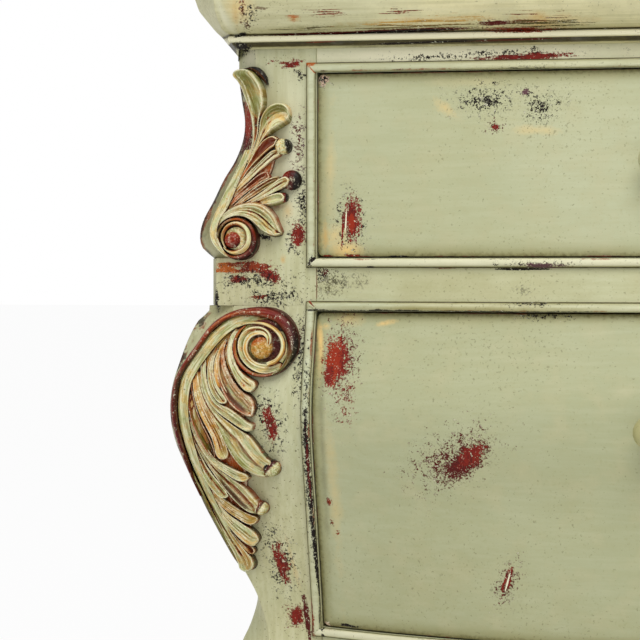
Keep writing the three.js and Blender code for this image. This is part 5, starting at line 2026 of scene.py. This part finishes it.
          (251, 338.8), (256.6, 335.2), (262.4, 334.8), (266.2, 337), (267.8, 340.4), (267.8, 344),
          (269.4, 347)),
         "pale pale leaf amber cream", "cream", "pale", "cream", ribs=(0.6,), lift=(6, 12, 15), scoop=3.2,
         rim_width=1.5, walls="rust umber", spread=(0.6, 0.4), clean=0.1),
    Strand(((238, 326.6), (246.4, 323.6), (256, 322.8), (265.6, 324.2), (274.2, 328.6), (280.6, 335.6),
            (283.4, 344.4), (282, 353), (276.4, 360.4), (268, 364)),
           (0.8, 1.4, 1.8, 2.1, 2), "amber cream cream", (10, 12, 13), 2, 0.2, "rust", clean=0.1),
    Boss((261.4, 348), 10.9, "ochre ochre orange", 15, 110, 0.55, 0.45),
)


@dataclass
class Studio:
    """The floor, the lamps, the world and the camera."""

    chest: Carcase
    floor_size: float = 60.0
    floor_drop: float = 0.0005
    world_level: float = 0.42
    key_level: float = 67.0
    fill_level: float = 9.0

    def lamp(self, name: str, place: Sequence[float], aim: Sequence[float], size: float,
             watts: float) -> None:
        """Hangs a soft square lamp.

        Args:
            name: The lamp's name.
            place: Where it hangs, in metres.
            aim: What it looks at.
            size: The length of its sides.
            watts: Its strength.
        """
        data = bpy.data.lights.new(name, "AREA")
        data.shape, data.size, data.energy = "SQUARE", size, watts
        lamp = bpy.data.objects.new(name, data)
        lamp.location = place
        lamp.rotation_euler = (Vector(aim) - Vector(place)).to_track_quat("-Z", "Y").to_euler()
        bpy.context.scene.collection.objects.link(lamp)

    def world(self) -> None:
        """Makes the world white to the camera and a plain soft light to the object."""
        world = bpy.data.worlds.new("studio")
        bpy.context.scene.world = world
        world.use_nodes = True
        nodes, links = world.node_tree.nodes, world.node_tree.links
        nodes.clear()
        path, looked = nodes.new("ShaderNodeLightPath"), nodes.new("ShaderNodeMath")
        looked.operation = "MAXIMUM"
        soft, white = nodes.new("ShaderNodeBackground"), nodes.new("ShaderNodeBackground")
        for background, strength in ((soft, self.world_level), (white, 1.0)):
            background.inputs["Strength"].default_value = strength
            background.inputs["Color"].default_value = (1, 1, 1, 1)
        both, out = nodes.new("ShaderNodeMixShader"), nodes.new("ShaderNodeOutputWorld")
        for start, end in ((path.outputs["Is Camera Ray"], looked.inputs[0]),
                           (path.outputs["Is Transmission Ray"], looked.inputs[1]),
                           (looked.outputs[0], both.inputs[0]), (soft.outputs[0], both.inputs[1]),
                           (white.outputs[0], both.inputs[2]), (both.outputs[0], out.inputs["Surface"])):
            links.new(start, end)

    def floor(self) -> None:
        """Lays the floor."""
        mesh = bmesh.new()
        bmesh.ops.create_grid(mesh, x_segments=1, y_segments=1, size=self.floor_size / 2)
        data = bpy.data.meshes.new("studio_floor")
        mesh.to_mesh(data)
        mesh.free()
        data.materials.append(StudioWhite("studio_white").material())
        floor = bpy.data.objects.new("studio_floor", data)
        floor.location.z = -self.floor_drop
        bpy.context.scene.collection.objects.link(floor)

    def camera(self) -> None:
        """Stands the camera where the photograph was taken from."""
        view = self.chest.view
        data = bpy.data.cameras.new("camera")
        data.sensor_width, data.lens = view.sensor, view.lens
        camera = bpy.data.objects.new("camera", data)
        camera.location = view.place * MM + Vector((0, self.chest.face_plane(), 0))
        _, _, forward = view.axes()
        camera.rotation_euler = forward.to_track_quat("-Z", "Y").to_euler()
        bpy.context.scene.collection.objects.link(camera)
        bpy.context.scene.camera = camera

    def build(self) -> None:
        """Sets up the studio."""
        self.camera()
        self.floor()
        self.world()
        self.lamp("key", place=(0.3, -2.0, 2.9), aim=(-0.2, -0.2, 0.5), size=2.0, watts=self.key_level)
        self.lamp("fill", place=(-2.4, -2.2, 0.9), aim=(-0.4, -0.1, 0.4), size=1.8, watts=self.fill_level)
        bpy.context.scene.view_settings.view_transform = "Standard"


STILE_PATCHES = picked(
    (244, 132, 7, 26, "maroon upright", 4),
    (245.5, 118, 6, 18, "brick upright", 4),
    # Painted light: the post's face under the cornice lightened against the shade of its canted face.
    (248, 56, 9, 14, "cream wash", 0, 0.9),
    # Painted light on the stile's face beside the upper carving.
    (292, 160, 13, 90, "bright wash", 0, 0.75),
    # Painted light on the stile's face beside the lower carving.
    (286, 470, 16, 150, "bright stain", -3, 0.3),
    (241, 50, 6, 4, "black specks"),
    (268, 85, 2.5, 8, "plum stain", -20, 0.7),
    (272, 168, 7, 11, "rust stain", 0, 0.8),
    (275, 206, 9, 5, "rust stain", 0, 0.8),
    # Painted shadow under the drooping lobe of the upper leaf.
    (263, 236.4, 7, 2.2, "black solid", 20),
    (292, 64, 12, 4, "red level", -6),
    (299, 73, 10, 4, "black specks", 35),
    (272, 61, 5, 3, "red specks"),
    # Painted shadow in the recess under the cornice bead's left end.
    (243, 48, 5, 3, "black level"),
    (288, 212, 7, 11, "ochre stain", 0, 0.5),
    (283, 260, 4, 6, "ochre stain", 0, 0.8),
    (299, 146, 7, 26, "maroon specks"),
    (303, 150, 3, 26, "plum specks"),
    (302, 212, 5, 26, "black specks"),
    (298, 234, 10, 18, "black specks"),
    (298, 234, 6, 10, "red solid"),
    (228, 268, 13, 6, "orange level"),
    (252, 267, 24, 6, "rust level", 4),
    (238, 279, 9, 4, "red solid"),
    (270, 276, 9, 6, "red solid", 30),
    (252, 280, 32, 9, "black specks"),
    (258, 297, 10, 3, "rust level"),
    (275, 297, 26, 8, "black specks"),
    (215, 300, 2.5, 9, "black solid"),
    (301, 334, 5, 14, "maroon specks"),
    (300, 360, 6, 40, "black specks"),
    (270, 424, 13, 28, "black specks", -10),
    (270, 424, 5.5, 17, "red upright", -10),
    (292, 560, 4, 34, "ochre stain", -12, 0.6),
    (281, 562, 13, 32, "black specks", -10),
    (281, 562, 6, 20, "red upright", -10),
    (296, 616, 10, 12, "red specks"),
    (296, 616, 6, 9, "red solid"),
    (307, 616, 3, 24, "maroon upright", -6),
)
TOP_PATCHES = picked(
    # Painted light on the top rail against the cornice's shadow.
    (440, 53.5, 280, 11, "cream wash", -0.5, 0.85),
    (434, 57, 44, 3, "black specks", -1),
    (524, 57, 44, 4, "red level", -2),
    (500, 53, 50, 3, "black specks", -2),
    (314.5, 56, 0.8, 7, "rust line"),
)
RAIL_PATCHES = picked(
    (440, 285, 300, 24, "dull stain", 0, 0.5),
    (330, 282, 16, 15, "olive specks", 0, 0.7),
    (323, 272, 8, 8, "black specks", 0),
    (325, 272, 4, 3, "maroon specks"),
    (345, 281, 22, 7, "black specks", 0, 0.5),
    (527, 269, 28, 1.2, "black line"),
    (446, 268, 13, 0.9, "rust line"),
    (316.6, 284, 0.7, 16, "rust line"),
    (522, 290, 10, 4, "black specks", 0, 0.5),
)
CORNICE_PATCHES = picked(
    # Painted shade along the ogee's foot, where it curves under.
    (320, 27, 130, 4, "khaki stain", -1, 0.7, 26),
    # Painted highlight along the left mitre.
    (222, 14, 3, 22, "cream stain", -12, 0.9, 36),
    # Amber tint and painted light on the canted corner.
    (240, 9, 15, 13, "amber wash", 0, 0.55, 36),
    # Painted highlight along the left mitre.
    (226, 18, 4, 20, "bright wash", -22, 0.8, 30),
    (235, 15, 4, 20, "ochre stain", 0, 0.5, 36),
    (243, 11, 4, 14, "rust specks", 0, 1, 36),
    (243, 13, 2.4, 8, "umber specks", 0, 1, 36),
    (245, 20, 5, 9, "umber specks", 0, 1, 36),
    (250, 14, 6, 9, "black specks", 0, 1, 36),
    (250, 15, 4, 6, "black specks", 20, 1, 36),
    (262, 9, 7, 1.4, "umber level", 3, 0.7, 36),
    (330, 12, 30, 5, "rust thread", 1, 1, 36),
    (396, 11, 26, 5, "rust thread", 0, 1, 36),
    (292, 18, 9, 4, "ochre stain", 0, 0.9, 34),
    (293, 18.5, 8, 4, "orange thread", 0, 0.8, 34),
    # Olive on the ogee's foot: partly streaks, partly painted shade.
    (310, 28, 30, 3, "olive thread", -1, 1, 24),
    (430, 19, 110, 4, "ochre stain", -1, 0.7, 34),
    (430, 22, 100, 7, "ochre thread", -1, 1, 34),
    # Olive on the ogee's foot: partly streaks, partly painted shade.
    (420, 26, 110, 4, "olive thread", -1, 0.8, 28),
    (545, 20, 60, 9, "ochre stain", -1, 0.8, 34),
    (530, 20, 50, 9, "rust thread", -1, 1, 34),
    # Olive on the ogee's foot: partly streaks, partly painted shade.
    (530, 24, 70, 8, "olive thread", -1, 1, 30),
    (495, 21.5, 20, 5, "maroon thread", -1, 1, 34),
    (494, 22, 14, 2.4, "maroon level", -1, 1, 34),
    (372, 32, 135, 1.5, "maroon line", -0.9, 1, 12),
    (400, 31.4, 60, 1, "black line", -0.9, 1, 12),
    (520, 30, 36, 2.4, "rust level", -0.9, 1, 14),
    (240, 35.2, 7, 1.4, "black solid", -16, 1, 14),
    (318, 41.6, 18, 0.8, "rust line", -0.9, 0.6, 14),
    (510, 39.4, 60, 1, "maroon line", -0.9, 1, 14),
    # Painted shadow under the cornice's bead.
    (440, 43.6, 130, 4, "olive stain", -0.9, 1, 8),
    # Painted shadow under the cornice's bead.
    (425, 42.4, 60, 1.2, "black line", -0.9, 1, 8),
    # Painted shadow in the recess under the bead's left end.
    (243, 46.5, 7, 3.5, "black solid", 0, 1, 6),
)
UPPER_FRONT_PATCHES = picked(
    (335, 238, 24, 24, "amber stain", 0, 0.6),
    (346, 250, 15, 8, "amber wash", 0, 0.9),
    (325, 240, 5, 26, "ochre stain", 0, 0.9),
    (330, 170, 8, 80, "amber stain", 0, 0.35),
    (446, 109, 20, 9, "amber stain", 35, 0.7),
    (470, 82, 70, 7, "warm stain", 0, 0.6),
    (535, 130, 34, 6, "amber stain", 4, 0.5),
    (351, 221, 14, 26, "black specks"),
    (352, 218, 8.5, 19, "red upright"),
    (351, 222, 4, 8, "brick upright"),
    (322, 79, 5, 6, "raw solid"),
    (323, 80, 6, 8, "black specks"),
    (342, 229, 1.3, 15, "red upright", 3),
    (345.4, 220, 0.7, 14, "cream line", 3),
    (485, 100, 26, 13, "black specks"),
    (526, 91, 6, 5, "black specks"),
    (525, 92, 2.6, 3, "plum solid", 20),
    (542, 107, 16, 14, "black specks"),
    (494.5, 126.5, 8, 6, "maroon specks"),
    (494.5, 126.5, 2.6, 2.6, "red solid"),
    (327, 256, 6, 1.4, "rust level"),
    (352, 255.4, 7, 1.2, "rust level"),
    (397, 257, 13, 1.3, "black level"),
)
LOWER_FRONT_PATCHES = picked(
    (320, 350, 6, 40, "amber stain", -3, 0.9),
    (320, 340, 3, 16, "amber wash", -8, 0.9),
    (326, 326, 10, 7, "amber stain", 0, 1),
    (345, 319, 34, 9, "amber stain", 0, 0.5),
    (383, 323.5, 17, 4, "amber stain", -12, 1),
    (334, 500, 9, 130, "amber stain", -2, 0.35),
    (342, 362, 15, 44, "maroon specks"),
    (337, 360, 12, 23, "red upright", 4),
    (332, 364, 7, 19, "brick solid", 6),
    (328, 376, 4, 9, "red solid", 6),
    (345, 396, 8, 22, "red specks"),
    (452, 459, 40, 22, "maroon specks", -30),
    (464, 462.5, 24, 11, "maroon solid", -38),
    (470, 457, 14, 7, "red solid", -38),
    # Painted shade: the lower front is darker towards its bottom, where it curves under.
    (440, 610, 300, 190, "khaki stain", 0, 0.12),
    (507, 584, 9, 20, "maroon specks", 16),
    (504, 585, 1.8, 14, "red upright", 16),
    (510, 577, 2.2, 13, "red upright", 16),
    (507.4, 582, 0.8, 11, "cream line", 16),
    (328, 502, 3, 5, "rust specks"),
    (328, 502, 2, 3, "rust solid"),
    (331, 523, 3, 4, "rust specks"),
    (337, 534, 3, 4, "rust specks"),
    (325, 627, 6, 4, "raw solid"),
    (348, 626, 10, 1.6, "black level", 6),
    (540, 316, 24, 4, "black specks"),
    # Painted shade along the lower front's left border, in the recess beside the bead.
    (322, 450, 5, 190, "olive stain", 0, 0.5),
)
BEAD_PATCHES = picked(
    # Painted shade on the underside of the bead over the lower opening.
    (440, 308.8, 160, 2.6, "khaki wash", 0.2, 0.8),
    # Painted shadow under that bead.
    (440, 311.4, 150, 1.3, "black level", 0.2, 0.9),
    (308, 455, 6, 80, "black specks"),
    (308.5, 455, 2.2, 60, "black upright", -1),
    (309.5, 470, 1.4, 34, "maroon upright"),
    # Black along the bead's inner side: partly worn paint, partly painted shade in the gap.
    (313.5, 440, 1.8, 80, "black upright", -1),
    # Black along the bead's inner side: partly worn paint, partly painted shade in the gap.
    (317.4, 560, 2, 80, "black upright", -3),
    (312, 303.4, 6, 1, "rust line", 40),
    (313.5, 260, 6, 1.4, "black solid", -40),
    (311, 612, 3, 24, "rust upright", -6),
    (526, 72, 34, 4, "black specks"),
    (526, 70, 26, 1.4, "black level"),
    (311, 63, 5, 3, "orange solid"),
    (313, 70, 6, 0.7, "orange line", 50),
    (537, 265, 32, 3.5, "black specks"),
    (545, 265.5, 22, 2.2, "plum level"),
    (370, 267.4, 5, 1.2, "black level"),
    (531, 304, 20, 2.4, "black specks"),
    (311, 262, 4, 9, "black specks", 20),
)


def dress_inside(frame: Mapping[str, object]) -> None:
    """Gives the bare boards that stay as they are their wood, with the grain along each.

    Args:
        frame: The loaded frame.
    """
    level = BareWood("bare_wood_level").material()
    deep = BareWood("bare_wood_deep", (24.0, 1.6, 24.0)).material()
    lengthwise = ("back_panel", "bottom_board", "dust_board", "drawer_back", "drawer_bottom")
    crosswise = ("runner", "drawer_left", "drawer_right")
    for name, piece in frame["nodes"].items():
        along = any(word in name for word in lengthwise)
        if piece["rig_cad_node"] and (along or any(word in name for word in crosswise)):
            piece.data.materials.clear()
            piece.data.materials.append(level if along else deep)
            log.info("%s: bare wood", name)


def main() -> None:
    """Dresses the frame, sub-assembly by sub-assembly."""
    logging.basicConfig(level=logging.INFO, format="%(name)s: %(message)s")
    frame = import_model()
    chest = Carcase()
    Studio(chest).build()
    post_paint = Paint("post_paint", chest, (160.0, 160.0, 14.0), STILE_PATCHES, specks=0.7, depth=75.0)
    rail_paint = Paint("rail_paint", chest, patches=TOP_PATCHES + RAIL_PATCHES, warm=0.1, streaks=0.5)
    bead_paint = Paint("bead_paint", chest, patches=BEAD_PATCHES, warm=0.25, base=Tone.COOL)
    # The cornice's base is a lightened paint: painted light against the ogee's shade.
    cornice_paint = Paint("cornice_paint", chest, (10.0, 260.0, 260.0), CORNICE_PATCHES, 0.3, base=Tone.BUFF)
    Posts(chest, post_paint.material()).build()
    Rails(chest, rail_paint.material()).build()
    Beads(chest, bead_paint.material()).build()
    Cornice(chest, cornice_paint.material()).build()
    knob_paint = Paint("knob_paint", chest, (60.0, 60.0, 60.0), base=Tone.LEAF).material()
    upper_paint = Paint("upper_front_paint", chest, patches=UPPER_FRONT_PATCHES, warm=0.1, base=Tone.PANEL,
                        streaks=0.35).material()
    # The lower front takes the darker copy of the panel paint as painted shade.
    lower_paint = Paint("lower_front_paint", chest, patches=LOWER_FRONT_PATCHES, warm=0.05,
                        base=Tone.DEEP_PANEL, streaks=0.35).material()
    Drawer(chest, Body.UPPER_DRAWER, upper_paint, knob_paint, floor=lambda x: chest.upper_floor,
           ceiling=chest.upper_ceiling, knob_share=0.5).build()
    Drawer(chest, Body.LOWER_DRAWER, lower_paint, knob_paint, floor=chest.lower_edge,
           ceiling=chest.lower_ceiling, knob_share=0.66).build()
    carving = CarvedPaint("carved_paint").material()
    Console(chest, carving, "upper", UPPER_LEAF).build()
    Console(chest, carving, "lower", LOWER_LEAF).build()
    dress_inside(frame)


if __name__ == "__main__":
    main()
